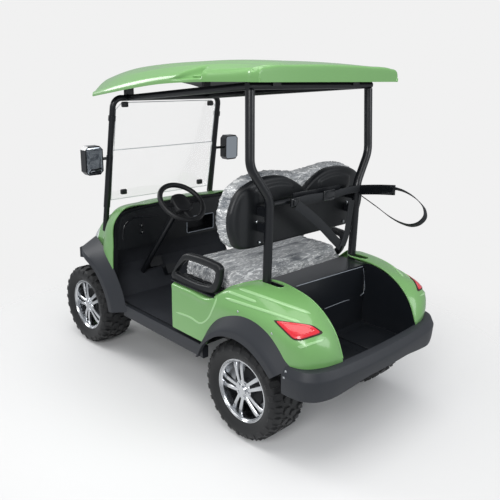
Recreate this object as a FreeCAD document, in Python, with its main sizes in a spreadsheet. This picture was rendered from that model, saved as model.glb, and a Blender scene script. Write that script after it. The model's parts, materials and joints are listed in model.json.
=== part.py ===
import FreeCAD, Part
import Sketcher
import math
import operator
import os

# A two-seat electric golf cart with a roof, a folding screen and a bag well.
# X runs forward, Y to the left and Z up, in millimetres. The floor is at Z zero and the
# origin lies under the middle of the cart. Sizes ending in share are parts of other sizes.

SIZES = {
    # Chassis and wheels
    "wheelbase": 1690,
    "front_overhang": 415,
    "rear_overhang": 575,
    "wheel_y": 490,
    "tyre_radius": 292,
    "tyre_width": 254,
    "tread_width": 214,
    "shoulder_drop": 20,
    "flank_radius": 236,
    "rim_radius": 188,
    "rim_width": 204,
    "rim_wall": 5,
    "rim_lip": 10,
    "rim_drop": 14,
    "spoke_inset": 18,
    "spoke_thickness": 22,
    "spoke_width": 20,
    "spoke_split": 26,
    "spoke_count": 5,
    "hub_radius": 62,
    "hub_depth": 44,
    "centre_cap_radius": 26,
    "centre_cap_proud": 7,
    "drum_radius": 112,
    "drum_depth": 58,
    "axle_radius": 34,
    "motor_radius": 92,
    "motor_length": 250,
    "gear_case_radius": 105,
    "gear_case_width": 150,
    "spring_width": 46,
    "spring_thickness": 12,
    "spring_half": 340,
    "spring_pad": 14,
    "kingpin_y": 395,
    "kingpin_radius": 12,
    "knuckle_height": 96,
    "knuckle_radius": 24,
    "yoke_thickness": 14,
    "yoke_width": 62,
    "pin_clearance": 0.3,
    "steer_arm": 112,
    "steer_arm_width": 26,
    "steer_arm_thickness": 16,
    "ball_pin_radius": 8,
    "ball_pin_length": 20,
    "rod_radius": 9,
    # Frame
    "deck_rise": 148,
    "rail_height": 60,
    "rail_width": 40,
    "rail_y": 300,
    "nose_rail_y": 190,
    # Body
    "body_half": 600,
    "belt_rise": 460,
    "panel_wall": 5,
    "floor_wall": 8,
    "floor_inset": 44,
    "mat_thickness": 4,
    "mat_inset": 14,
    "seat_wall": 5,
    "seat_front": 634,
    "seat_deck_rise": 345,
    "seat_back_x": 140,
    "tower_front": 64,
    "tower_rear": 125,
    "tower_rise": 440,
    "well_floor_rise": 55,
    "well_inset": 250,
    "well_wall": 5,
    "bumper_height": 165,
    "bumper_drop": 15,
    "bumper_depth": 70,
    "tow_hole_radius": 7,
    "tow_hole_spacing": 500,
    "tow_hole_rise": 60,
    "arch_radius": 335,
    "arch_cut": 350,
    "front_arch_radius": 420,
    "front_arch_cut": 500,
    "lip_reach": 55,
    "lip_fold": 26,
    "sill_height": 84,
    "sill_rise": 14,
    "lamp_proud": 8,
    # Roof, struts and screen
    "roof_rise": 1634,
    "roof_camber": 252,
    "roof_outset": 2,
    "roof_length": 1860,
    "roof_wall": 6,
    "roof_tail": 75,
    "rear_strut": 50,
    "front_tube": 40,
    "front_strut_inset": 118,
    "front_strut_splay": 19,
    "screen_wall": 5,
    "screen_lean": 0.157,
    "mirror_width": 132,
    "mirror_height": 192,
    "mirror_depth": 62,
    "mirror_outset": 18,
    # Seat
    "seat_inset": 100,
    "seat_cushion_thickness": 100,
    "seat_base_thickness": 14,
    "hinge_radius": 5.5,
    "hinge_length": 90,
    "hinge_y": 300,
    "seat_rest_gap": 0.3,
    "soft_gap": 0.3,
    "back_inset": 18,
    "back_shell_depth": 46,
    "back_cushion_depth": 96,
    "back_low_rise": 630,
    "back_high_rise": 1020,
    "armrest_tube": 44,
    # Steering
    "wheel_radius": 176,
    "wheel_rim_radius": 15,
    "column_radius": 21,
    "wheel_centre_x": 924,
    "wheel_centre_y": 280,
    "wheel_centre_rise": 731,
    "column_angle": 38.2,
    "rim_flange": 4,
    "rim_seat": 28,
    "rim_slope": 18,
    "kick_rise": 58,
    "kick_x": 360,
    "nose_rail_length": 400,
    "bumper_setback": 60,
    "cross_spacing": 420,
    "gear_case_y": -145,
    "motor_x": 230,
    "battery_setback": 24,
    "battery_length": 220,
    "battery_height": 250,
    "yoke_reach": 35,
    "spindle_radius": 20,
    "firewall_run": 126,
    "firewall_rise": 200,
    "dash_rise": 375,
    "dash_height": 262,
    "dash_reach": 185,
    "dash_depth": 110,
    "tray_share": 0.8,
    "dash_lap": 35,
    "dash_border": 26,
    "bin_height": 110,
    "bin_width": 250,
    "bin_depth": 90,
    "cowl_lap": 30,
    "cowl_length": 745,
    "cowl_rise": 668,
    "arch_start": 300,
    "flare_width": 150,
    "flare_wall": 4,
    "seat_in": 60,
    "trim_depth": 12,
    "liner_wall": 4,
    "liner_rise": 25,
    "liner_lift": 3,
    "pad_size": 60,
    "hatch_rim": 20,
    "sill_edge": 6,
    "sill_lap": 10,
    "sill_front_gap": 100,
    "front_bumper_rise": 200,
    "blade_height": 80,
    "blade_half": 450,
    "chin_half": 200,
    "slot_reach": 125,
    "slot_half": 30,
    "strut_set": 20,
    "strut_inset": 210,
    "roof_bow": 275,
    "screen_top_x": 1421,
    "screen_top_rise": 1327,
    "screen_low_rise": 665,
    "screen_seam_share": 0.528,
    "screen_head_rise": 1345,
    "screen_corner": 46,
    "front_bar_rise": 1374,
    "strut_foot_rise": 440,
    "front_bar_inset": 83,
    "front_bend": 62,
    "sleeve_radius": 23,
    "collar_radius": 25,
    "knee_rise": 920,
    "hip_rise": 1100,
    "head_rise": 1485,
    "strut_splay": 128,
    "strut_sweep": 26,
    "strut_tuck": 13,
    "rear_bend": 130,
    "mirror_corner": 24,
    "mirror_rise": 970,
    "mirror_arm_radius": 10,
    "seat_overhang": 10,
    "seat_rear_slope": 72,
    "back_shell_x": 100,
    "back_overlap": 14,
    "armrest_x": 200,
    "armrest_length": 450,
    "armrest_height": 200,
    "armrest_inset": 16,
    "bag_bar_rise": 890,
    "bag_bar_radius": 14,
    "bag_plate_depth": 8,
    "bag_plate_half": 210,
    "bag_plate_height": 80,
    "wheel_hub_depth": 60,
    "wheel_hub_radius": 62,
    "wheel_spoke_width": 40,
    "column_length": 800,
    "pedal_gap": 95,
    "pedal_width": 90,
    "brake_width": 110,
    "pedal_height": 70,
    "pedal_wall": 6,
    "pedal_reach": 45,
    "pedal_arm_radius": 8,
    # Shares of other sizes
    "eye_share": 1.2,
    "well_rear_share": 0.33,
    "strut_foot_share": 0.57,
    "plate_low_share": 0.60,
    "plate_top_share": 0.72,
    "slot_low_share": 0.7,
    "open_top_share": 1.2,
    "tub_side_share": 0.68,
    "crest_share": 0.3,
    "liner_nose_share": 1.7,
    "grip_corner_share": 0.4,
    "brake_share": 0.62,
    "drive_share": 0.30,
    "drive_gap_share": 2.2,
}

FLAT = 1e-6  # How far a corner may stand off a flat face, in millimetres

os.makedirs("parts", exist_ok=True)
doc = FreeCAD.newDocument("GolfCart")
sheet = doc.addObject("Spreadsheet::Sheet", "Sizes")
for row, (name, value) in enumerate(SIZES.items(), start=1):
    sheet.set(f"A{row}", name)
    sheet.set(f"B{row}", str(value))
    sheet.setAlias(f"B{row}", name)
doc.recompute()

V = FreeCAD.Vector
SIDEWAYS = V(0, 1, 0)
UP = V(0, 0, 1)
SIGNS = {"+": operator.add, "-": operator.sub, "*": operator.mul, "/": operator.truediv}
pieces = []


# Sizes that carry their formula

class Size:
    """A number together with the sheet formula that gives it."""

    def __init__(self, number, formula):
        self.number = float(number)
        self.formula = formula

    def __float__(self):
        return self.number

    def __add__(self, other):
        return reckon(self, "+", other)

    def __radd__(self, other):
        return reckon(other, "+", self)

    def __sub__(self, other):
        return reckon(self, "-", other)

    def __rsub__(self, other):
        return reckon(other, "-", self)

    def __mul__(self, other):
        return reckon(self, "*", other)

    def __rmul__(self, other):
        return reckon(other, "*", self)

    def __truediv__(self, other):
        return reckon(self, "/", other)

    def __neg__(self):
        return reckon(0, "-", self)


def reckon(left, sign, right):
    """One step of arithmetic, on the numbers and on the formulas."""
    sides = [side if isinstance(side, Size) else Size(side, f"{side}") for side in (left, right)]
    number = SIGNS[sign](sides[0].number, sides[1].number)
    return Size(number, f"({sides[0].formula} {sign} {sides[1].formula})")


class Named:
    """Gives each cell of the sheet by its name."""

    def __getattr__(self, name):
        return Size(sheet.get(name), f"Sizes.{name}")


s = Named()

rear = (s.rear_overhang - s.front_overhang - s.wheelbase) / 2
front = rear + s.wheelbase
deck = s.tyre_radius + s.deck_rise
floor_half = s.body_half - s.floor_inset
well_half = s.body_half - s.well_inset
tower_half = well_half - s.well_wall
seat_half = s.body_half - s.seat_inset
roof_half = s.body_half + s.roof_outset
strut_y = s.body_half - s.strut_inset
strut_top_y = strut_y + s.strut_splay
foot_y = s.body_half - s.front_strut_inset
bend_y = foot_y - s.front_strut_splay
front_bar_half = bend_y - s.front_bar_inset


def along(share):
    """A place along the cart, as a share of the wheelbase ahead of the rear axle."""
    return rear + s.wheelbase * share


def high(share):
    """A height, as a share of the belt's rise above the deck."""
    return deck + s.belt_rise * share


def wide(share):
    """A place across the cart, as a share of the body's half width."""
    return s.body_half * share


def spot(x, y, z):
    return V(float(x), float(y), float(z))


# Ways of making solids

def keep(item, label):
    """Names a finished sub-part, which gets a file of its own."""
    item.Label = label
    pieces.append(item)
    return item


def bind(item, name, value):
    """Sets a property, tied to the sheet where the value comes from it."""
    if isinstance(value, Size):
        item.setExpression(name, value.formula)
    else:
        setattr(item, name, value)


def place(item, x=0, y=0, z=0):
    """Moves an item to a place tied to the sheet."""
    for axis, value in zip("xyz", (x, y, z)):
        if isinstance(value, Size):
            item.setExpression(f"Placement.Base.{axis}", value.formula)
    item.Placement.Base = spot(x, y, z)
    return item


def new_body(name):
    return doc.addObject("PartDesign::Body", name)


def sketch(body, plane, offset, *loops):
    """A sketch of closed outlines on one of the body's own planes, moved out by offset."""
    item = body.newObject("Sketcher::SketchObject", "Outline")
    item.AttachmentSupport = [(feature, "") for feature in body.Origin.OriginFeatures
                              if feature.Role == plane + "_Plane"]
    item.MapMode = "FlatFace"
    offset = -offset if plane == "XZ" else offset
    if isinstance(offset, Size):
        item.setExpression("AttachmentOffset.Base.z", offset.formula)
    item.AttachmentOffset = FreeCAD.Placement(spot(0, 0, offset), FreeCAD.Rotation())
    for loop in loops:
        if isinstance(loop, tuple):
            draw_circle(item, *loop)
        else:
            draw_outline(item, loop)
    return item


def tie(item, kind, geometry, point, value):
    """Ties one coordinate of a drawn point to the sheet."""
    number = float(value)
    index = item.addConstraint(Sketcher.Constraint(kind, -1, 1, geometry, point, number))
    if isinstance(value, Size):
        item.setExpression(f"Constraints[{index}]", value.formula)


def draw_circle(item, x, y, radius):
    """A circle at x and y."""
    index = item.addGeometry(Part.Circle(spot(x, y, 0), UP, float(radius)), False)
    tie(item, "DistanceX", index, 3, x)
    tie(item, "DistanceY", index, 3, y)
    number = item.addConstraint(Sketcher.Constraint("Radius", index, float(radius)))
    if isinstance(radius, Size):
        item.setExpression(f"Constraints[{number}]", radius.formula)


def draw_outline(item, corners):
    """Straight lines from corner to corner, each corner tied to the sheet."""
    first = item.GeometryCount
    count = len(corners)
    for index, (x, y) in enumerate(corners):
        next_x, next_y = corners[(index + 1) % count]
        item.addGeometry(Part.LineSegment(spot(x, y, 0), spot(next_x, next_y, 0)), False)
    for index in range(count):
        following = first + (index + 1) % count
        item.addConstraint(Sketcher.Constraint("Coincident", first + index, 2, following, 1))
    for index, (x, y) in enumerate(corners):
        tie(item, "DistanceX", first + index, 1, x)
        tie(item, "DistanceY", first + index, 1, y)


def pad(body, outline, length):
    """A pad of the outline; on the XZ plane it grows towards minus Y."""
    item = body.newObject("PartDesign::Pad", "Pad")
    item.Profile = outline
    bind(item, "Length", length)
    return item


def pocket(body, outline, depth):
    """A pocket that goes against the outline's normal, and has to cut something."""
    before = body.Tip
    item = body.newObject("PartDesign::Pocket", "Pocket")
    item.Profile = outline
    bind(item, "Length", depth)
    doc.recompute()
    if item.Shape.Volume >= before.Shape.Volume:
        raise ValueError(f"The pocket in {body.Name} cuts nothing")
    return item


def slab(name, plane, start, thickness, *loops):
    """A plate with an outline, from start on by thickness along the plane's own axis."""
    body = new_body(name)
    offset = start + thickness if plane == "XZ" else start
    pad(body, sketch(body, plane, offset, *loops), thickness)
    return body


def span(name, plane, half, *loops):
    """A slab that is the same on both sides of the plane."""
    return slab(name, plane, -half, half * 2, *loops)


def turned(name, profile):
    """A body turned about its own Y axis from a profile of places along it and radii."""
    body = new_body(name)
    outline = sketch(body, "YZ", 0, profile)
    doc.recompute()
    item = body.newObject("PartDesign::Revolution", "Turn")
    item.Profile = outline
    item.ReferenceAxis = (outline, ["H_Axis"])
    item.Angle = 360
    return body


def around(body, features, count):
    """Repeats features about the body's Y axis, and makes the result the body's own."""
    doc.recompute()
    item = body.newObject("PartDesign::PolarPattern", "Around")
    item.Originals = features
    axis = [feature for feature in body.Origin.OriginFeatures if feature.Role == "Y_Axis"][0]
    item.Axis = (axis, [""])
    item.Angle = 360
    item.setExpression("Occurrences", count.formula)
    item.Occurrences = int(float(count))
    body.Tip = item
    return item


def box(name, x, y, z):
    """A block between two places along each axis."""
    item = doc.addObject("Part::Box", name)
    for axis, size, ends in zip("xyz", ("Length", "Width", "Height"), (x, y, z)):
        extent = ends[1] - ends[0]
        bind(item, size, extent)
    return place(item, x[0], y[0], z[0])


def rod(name, start, end, radius):
    """A round bar between two places."""
    item = doc.addObject("Part::Cylinder", name)
    line = spot(*end) - spot(*start)
    bind(item, "Radius", radius)
    steps = [last - first for first, last in zip(start, end)]
    bind(item, "Height", length_of(steps))
    place(item, *start)
    item.Placement.Rotation = FreeCAD.Rotation(UP, line)
    return item


def length_of(steps):
    """The length of a step along X, Y and Z, with its formula."""
    terms = [step if isinstance(step, Size) else Size(step, f"{step}") for step in steps]
    squares = " + ".join(f"({term.formula}) ^ 2" for term in terms)
    number = math.sqrt(sum(term.number ** 2 for term in terms))
    return Size(number, f"sqrt({squares})")


def on_circle(radius, side):
    """How far along a circle's middle line its edge lies, at a step to the side."""
    number = math.sqrt(radius.number ** 2 - side.number ** 2)
    return Size(number, f"sqrt(({radius.formula}) ^ 2 - ({side.formula}) ^ 2)")


def trig(kind, angle):
    """The sine or cosine of an angle of the sheet."""
    number = {"sin": math.sin, "cos": math.cos}[kind](math.radians(float(angle)))
    return Size(number, f"{kind}({angle.formula})")


def fused(name, *items):
    item = doc.addObject("Part::MultiFuse", name)
    item.Shapes = list(items)
    item.Refine = True
    return item


def cut(name, base, *tools):
    """The base with the tools taken away."""
    tool = tools[0] if len(tools) == 1 else fused(name + "Tools", *tools)
    item = doc.addObject("Part::Cut", name)
    item.Base = base
    item.Tool = tool
    return item


def mirrored(name, source):
    """The source as seen across the cart's middle."""
    item = doc.addObject("Part::Mirroring", name)
    item.Source = source
    item.Normal = SIDEWAYS
    item.Base = V(0, 0, 0)
    return item


def both(name, *items):
    """Items that don't touch, kept as one."""
    item = doc.addObject("Part::Compound", name)
    item.Links = list(items)
    return item


def solid(name, shape):
    item = doc.addObject("Part::Feature", name)
    item.Shape = shape
    return item


def quad(a, b, c, d):
    """A face on four corners, flat where they lie in one plane."""
    normal = (b - a).cross(c - a)
    if abs(normal.normalize().dot(d - a)) < FLAT:
        return Part.Face(Part.makePolygon([a, b, c, d, a]))
    return Part.makeRuledSurface(Part.makeLine(a, b), Part.makeLine(d, c))


def facing(grid, i, j):
    """The way a surface through rows of points faces at one of them."""
    row = grid[i]
    up_row = row[min(j + 1, len(row) - 1)] - row[max(j - 1, 0)]
    onward = grid[min(i + 1, len(grid) - 1)][j] - grid[max(i - 1, 0)][j]
    return up_row.cross(onward).normalize()


def inward(grid, depth):
    """The same rows of points, moved in by depth."""
    return [[point - facing(grid, i, j) * float(depth) for j, point in enumerate(row)]
            for i, row in enumerate(grid)]


def section(grid, x):
    """The points where the long lines of a surface pass a place along the cart."""
    points = []
    for line in zip(*grid):
        for start, end in zip(line, line[1:]):
            if start.x <= x <= end.x:
                points.append(start + (end - start) * ((x - start.x) / (end.x - start.x)))
                break
    return points


def outside(grid, wall):
    """The space beyond a moulding's inner face, to cut what lies close behind it."""
    return solid("Outside", between(inward(grid, -wall * 6), inward(grid, wall + s.soft_gap)))


def shell(grid, wall):
    """A wall between the surface through rows of points and its copy moved in by wall."""
    return between(grid, inward(grid, wall))


def between(outer, inner):
    """The solid between two surfaces that have the same rows of points."""
    faces = []
    rows = len(outer)
    columns = len(outer[0])
    for i in range(rows - 1):
        for j in range(columns - 1):
            for side in (outer, inner):
                faces.append(quad(side[i][j], side[i][j + 1], side[i + 1][j + 1], side[i + 1][j]))
        for j in (0, columns - 1):
            faces.append(quad(outer[i][j], outer[i + 1][j], inner[i + 1][j], inner[i][j]))
    for j in range(columns - 1):
        for i in (0, rows - 1):
            faces.append(quad(outer[i][j], outer[i][j + 1], inner[i][j + 1], inner[i][j]))
    made = Part.Solid(sewn(faces))
    if made.Volume < 0:
        made.reverse()
    return made


def sewn(faces):
    item = Part.Shell(faces)
    item.sewShape()
    return item


def bent_path(points, radius):
    """Straight runs through points, with an arc of the radius at each inner one."""
    edges = []
    here = points[0]
    for before, corner, after in zip(points, points[1:], points[2:]):
        arriving = (corner - before).normalize()
        leaving = (after - corner).normalize()
        half_turn = arriving.getAngle(leaving) / 2
        reach = float(radius) * math.tan(half_turn)
        start = corner - arriving * reach
        end = corner + leaving * reach
        inward = (leaving - arriving).normalize()
        middle = corner + inward * (float(radius) * (1 / math.cos(half_turn) - 1))
        edges.append(Part.makeLine(here, start))
        edges.append(Part.Arc(start, middle, end).toShape())
        here = end
    edges.append(Part.makeLine(here, points[-1]))
    return Part.Wire(edges)


def pipe(points, radius, bend):
    """A round bar bent along straight runs."""
    path = bent_path(points, bend)
    start = points[1] - points[0]
    ring = Part.Wire(Part.Circle(points[0], start, float(radius)).toShape())
    return path.makePipeShell([ring], True, False)


# Wheels

def make_tyre(name):
    """A tyre whose tread reaches the floor, with its beads inside the rim's flanges."""
    half = s.tyre_width / 2
    tread = s.tread_width / 2
    bead = s.rim_width / 2 - s.rim_flange
    shoulder = tread + (half - tread) / 2
    bead_radius = s.rim_radius - s.rim_lip
    right = [
        (bead, bead_radius), (bead, s.rim_radius), (half, s.flank_radius),
        (shoulder, s.tyre_radius - s.shoulder_drop), (tread, s.tyre_radius),
    ]
    left = [(-y, radius) for y, radius in reversed(right)]
    return turned(name, right + left)


def make_rim(name):
    """A cast rim with paired spokes; its outer face looks along plus Y."""
    half = s.rim_width / 2
    seat = half - s.rim_flange
    slope = seat - s.rim_seat
    floor = slope - s.rim_slope
    low = s.rim_radius - s.rim_lip
    lowest = low - s.rim_drop
    outside = [
        (-half, s.rim_radius), (-seat, s.rim_radius), (-seat, low), (-slope, low),
        (-floor, lowest), (floor, lowest), (slope, low), (seat, low),
        (seat, s.rim_radius), (half, s.rim_radius),
    ]
    inside = [
        (half, low - s.rim_wall), (slope, low - s.rim_wall), (floor, lowest - s.rim_wall),
        (-floor, lowest - s.rim_wall), (-slope, low - s.rim_wall), (-half, low - s.rim_wall),
    ]
    body = turned(name, outside + inside)
    face = half - s.spoke_inset
    hub_inner = s.spoke_split / 2
    rim_inner = hub_inner * 4 / 3
    rim_outer = rim_inner + s.spoke_width * 4 / 3
    foot = s.hub_radius * 3 / 4
    root = low - s.rim_wall / 2
    pair = []
    for side in (1, -1):
        pair.append([
            (hub_inner * side, foot), ((hub_inner + s.spoke_width) * side, foot),
            (rim_outer * side, on_circle(root, rim_outer)),
            (rim_inner * side, on_circle(root, rim_inner)),
        ])
    bars = [pad(body, sketch(body, "XZ", face, bar), s.spoke_thickness) for bar in pair]
    pad(body, sketch(body, "XZ", face, (0, 0, s.hub_radius)), s.hub_depth)
    cap = face + s.centre_cap_proud
    pad(body, sketch(body, "XZ", cap, (0, 0, s.centre_cap_radius)), s.centre_cap_proud)
    around(body, bars, s.spoke_count)
    return body


def make_wheels():
    for place_name, x in (("front", front), ("rear", rear)):
        left_tyre = place(make_tyre(f"tyre_{place_name}_left"), x, s.wheel_y, s.tyre_radius)
        left_rim = place(make_rim(f"rim_{place_name}_left"), x, s.wheel_y, s.tyre_radius)
        keep(left_tyre, f"tyre_{place_name}_left")
        keep(left_rim, f"rim_{place_name}_left")
        keep(mirrored("RightTyre", left_tyre), f"tyre_{place_name}_right")
        keep(mirrored("RightRim", left_rim), f"rim_{place_name}_right")


# Chassis

drum_face = s.wheel_y + s.rim_width / 2 - s.spoke_inset - s.hub_depth
front_rail_low = deck - s.floor_wall - s.rail_height
rear_rail_low = front_rail_low + s.kick_rise
rear_rail_top = rear_rail_low + s.rail_height
tail_x = rear - s.rear_overhang + s.bumper_depth
nose_x = front + s.front_overhang
kick_x = rear + s.kick_x
step_x = front - s.nose_rail_length


def make_frame():
    """A ladder frame of box rails, raised over the rear axle and narrow between the
    front wheels, so that these can steer."""
    parts = []
    for side in (1, -1):
        out = s.rail_y * side
        near = s.nose_rail_y * side
        half = s.rail_width / 2
        parts.append(box("RearRail", (tail_x, kick_x), (out - half, out + half),
                         (rear_rail_low, rear_rail_top)))
        parts.append(box("Kick", (kick_x - s.rail_height, kick_x), (out - half, out + half),
                         (front_rail_low, rear_rail_top)))
        parts.append(box("MainRail", (kick_x - s.rail_height, step_x), (out - half, out + half),
                         (front_rail_low, front_rail_low + s.rail_height)))
        parts.append(box("NoseRail", (step_x - s.rail_width, nose_x - s.bumper_setback),
                         (near - half, near + half),
                         (front_rail_low, front_rail_low + s.rail_height)))
    reach = s.rail_y + s.rail_width / 2
    for x, low, half in ((tail_x, rear_rail_low, reach),
                         (rear - s.cross_spacing / 2, rear_rail_low, reach),
                         (kick_x - s.rail_width, rear_rail_low, reach),
                         (step_x - s.rail_width, front_rail_low, reach),
                         (kick_x + s.cross_spacing, front_rail_low, reach),
                         (front + s.cross_spacing / 2, front_rail_low, s.nose_rail_y)):
        parts.append(box("Cross", (x, x + s.rail_width), (-half, half),
                         (low, low + s.rail_height)))
    keep(fused("FrameRails", *parts), "frame_rails")


def spring_parts(axle_x, rail_y, rear_low, front_low):
    """A leaf spring each side, on a pad on the axle and hung from the rails."""
    parts = []
    low = s.tyre_radius + s.axle_radius + s.spring_pad
    top = low + s.spring_thickness
    half = s.spring_width / 2
    for side in (1, -1):
        y = rail_y * side
        across = (y - half, y + half)
        parts.append(box("Spring", (axle_x - s.spring_half, axle_x + s.spring_half), across,
                         (low, top)))
        parts.append(box("Pad", (axle_x - half, axle_x + half), across,
                         (s.tyre_radius, low)))
        for end, rail_low in ((-1, rear_low), (1, front_low)):
            x = axle_x + (s.spring_half - half) * end
            parts.append(box("Hanger", (x - s.spring_thickness, x + s.spring_thickness),
                             across, (top, rail_low)))
    return parts


def make_rear_axle():
    """A driven axle with its gear case, drums and leaf springs."""
    depth = s.drum_depth
    parts = [rod("Tube", (rear, -drum_face, s.tyre_radius), (rear, drum_face, s.tyre_radius),
                 s.axle_radius)]
    for side in (1, -1):
        parts.append(rod("Drum", (rear, (drum_face - depth) * side, s.tyre_radius),
                         (rear, drum_face * side, s.tyre_radius), s.drum_radius))
    case_y = s.gear_case_y
    half = s.gear_case_width / 2
    parts.append(rod("Case", (rear, case_y - half, s.tyre_radius),
                     (rear, case_y + half, s.tyre_radius), s.gear_case_radius))
    parts.append(box("CaseArm", (rear, rear + s.motor_x), (case_y - half, case_y + half),
                     (s.tyre_radius - s.gear_case_radius / 2,
                      s.tyre_radius + s.gear_case_radius / 2)))
    parts += spring_parts(rear, s.rail_y, rear_rail_low, front_rail_low)
    keep(fused("RearAxle", *parts), "rear_axle")


def make_motor():
    """The drive motor, a plain drum on the gear case."""
    start = s.gear_case_y + s.gear_case_width / 2
    x = rear + s.motor_x - s.motor_radius
    keep(rod("Motor", (x, start, s.tyre_radius), (x, start + s.motor_length, s.tyre_radius),
             s.motor_radius), "drive_motor")


def make_battery():
    """The battery pack under the seat, as one block on the rails."""
    keep(box("Battery", (rear + s.seat_front - s.battery_setback - s.battery_length,
                         rear + s.seat_front - s.battery_setback),
             (-s.rail_y, s.rail_y),
             (deck - s.floor_wall, deck - s.floor_wall + s.battery_height)), "battery_pack")


pin_half = s.knuckle_height / 2 + s.pin_clearance


def make_front_axle():
    """A beam with a yoke and a kingpin at each end, on leaf springs."""
    yoke_outer = s.kingpin_y - s.yoke_reach
    parts = [rod("Beam", (front, -yoke_outer, s.tyre_radius), (front, yoke_outer, s.tyre_radius),
                 s.axle_radius)]
    half = s.yoke_width / 2
    ear_end = s.kingpin_y + s.knuckle_radius
    for side in (1, -1):
        plate = sorted([(yoke_outer - s.yoke_thickness) * side, yoke_outer * side], key=float)
        ear = sorted([(yoke_outer - s.yoke_thickness) * side, ear_end * side], key=float)
        top = pin_half + s.yoke_thickness
        parts.append(box("YokePlate", (front - half, front + half), plate,
                         (s.tyre_radius - top, s.tyre_radius + top)))
        for low in (pin_half, -top):
            parts.append(box("Ear", (front - half, front + half), ear,
                             (s.tyre_radius + low, s.tyre_radius + low + s.yoke_thickness)))
        parts.append(rod("Kingpin", (front, s.kingpin_y * side, s.tyre_radius - top),
                         (front, s.kingpin_y * side, s.tyre_radius + top), s.kingpin_radius))
    parts += spring_parts(front, s.nose_rail_y, front_rail_low, front_rail_low)
    keep(fused("FrontAxle", *parts), "front_axle")


def make_knuckles():
    """The left knuckle turns on its kingpin and carries the drum and the steering arm."""
    low = s.tyre_radius - s.knuckle_height / 2
    barrel = rod("Barrel", (front, s.kingpin_y, low),
                 (front, s.kingpin_y, low + s.knuckle_height), s.knuckle_radius)
    spindle = rod("Spindle", (front, s.kingpin_y, s.tyre_radius),
                  (front, drum_face, s.tyre_radius), s.spindle_radius)
    drum = rod("Drum", (front, drum_face - s.drum_depth, s.tyre_radius),
               (front, drum_face, s.tyre_radius), s.drum_radius)
    half = s.steer_arm_width / 2
    arm_low = s.tyre_radius - s.steer_arm_thickness / 2
    arm = box("Arm", (front - s.steer_arm - half, front),
              (s.kingpin_y - half, s.kingpin_y + half),
              (arm_low, arm_low + s.steer_arm_thickness))
    pin = rod("BallPin", (front - s.steer_arm, s.kingpin_y, arm_low - s.ball_pin_length),
              (front - s.steer_arm, s.kingpin_y, arm_low), s.ball_pin_radius)
    bore = rod("Bore", (front, s.kingpin_y, low),
               (front, s.kingpin_y, low + s.knuckle_height), s.kingpin_radius + s.pin_clearance)
    left = cut("Knuckle", fused("KnuckleSolid", barrel, spindle, drum, arm, pin), bore)
    keep(left, "knuckle_left")
    keep(mirrored("RightKnuckle", left), "knuckle_right")


def make_track_rod():
    """The rod that joins the two steering arms, under their ball pins."""
    top = s.tyre_radius - s.steer_arm_thickness / 2 - s.ball_pin_length - s.seat_rest_gap
    x = front - s.steer_arm
    half = s.rod_radius * s.eye_share
    z = top - half
    parts = [rod("Rod", (x, -s.kingpin_y, z), (x, s.kingpin_y, z), s.rod_radius)]
    for side in (1, -1):
        parts.append(rod("Eye", (x, s.kingpin_y * side, z - half),
                         (x, s.kingpin_y * side, top), s.ball_pin_radius * 2))
    keep(fused("TrackRod", *parts), "track_rod")


# Floor and cab front

toe_x = along(0.7775)
fire_x = toe_x + s.firewall_run
fire_bend = deck + s.firewall_rise
dash_low = deck + s.dash_rise
dash_back = fire_x - s.dash_reach


def make_floor():
    """The floor with its sloped toe board and the upright behind the dash, as one
    moulding, and the mat that lies on it."""
    start = rear + s.seat_front
    top = dash_low + s.dash_lap
    wall = s.floor_wall
    pan = span("Pan", "XZ", floor_half, [
        (start, deck), (toe_x, deck), (fire_x, fire_bend), (fire_x, top), (fire_x + wall, top),
        (fire_x + wall, fire_bend - wall / 2), (toe_x + wall / 2, deck - wall),
        (start, deck - wall),
    ])
    keep(cut("FloorPan", pan, outside(cowl_grid(), s.panel_wall)), "floor_pan")
    skin = s.mat_thickness
    keep(span("FloorMat", "XZ", floor_half - s.mat_inset, [
        (start + s.mat_inset, deck), (toe_x, deck), (fire_x, fire_bend),
        (fire_x, dash_low - s.mat_inset), (fire_x - skin, dash_low - s.mat_inset),
        (fire_x - skin, fire_bend + skin / 2), (toe_x - skin / 2, deck + skin),
        (start + s.mat_inset, deck + skin),
    ]), "floor_mat")


DASH_SHARES = [(1.0, 0.0), (1.0, 0.55), (0.95, 0.84), (0.82, 0.95), (0.5, 1.0), (0.0, 1.0)]


def make_dashboard():
    """A dash with a closed bin on the left and an open one on the right."""
    half = floor_half
    left = [(half * y, dash_low + s.dash_height * z) for y, z in DASH_SHARES]
    right = [(-y, z) for y, z in reversed(left[:-1])]
    body = slab("Dash", "YZ", dash_back, s.dash_depth, left + right)
    bin_low = dash_low + s.dash_border
    bin_top = bin_low + s.bin_height
    front_side = dash_back + s.dash_depth
    tray = half * s.tray_share
    pad(body, sketch(body, "YZ", front_side, [
        (-tray, dash_low), (tray, dash_low), (tray, dash_low + s.dash_lap),
        (-tray, dash_low + s.dash_lap),
    ]), s.dash_reach - s.dash_depth)
    bins = sketch(body, "YZ", dash_back, [
        (-s.dash_border, bin_low), (-s.dash_border, bin_top),
        (-s.dash_border - s.bin_width, bin_top), (-s.dash_border - s.bin_width, bin_low),
    ])
    item = body.newObject("PartDesign::Pocket", "Bin")
    item.Profile = bins
    item.Reversed = True
    bind(item, "Length", s.bin_depth)
    keep(cut("Dashboard", body, outside(cowl_grid(), s.panel_wall)), "dashboard")


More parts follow.
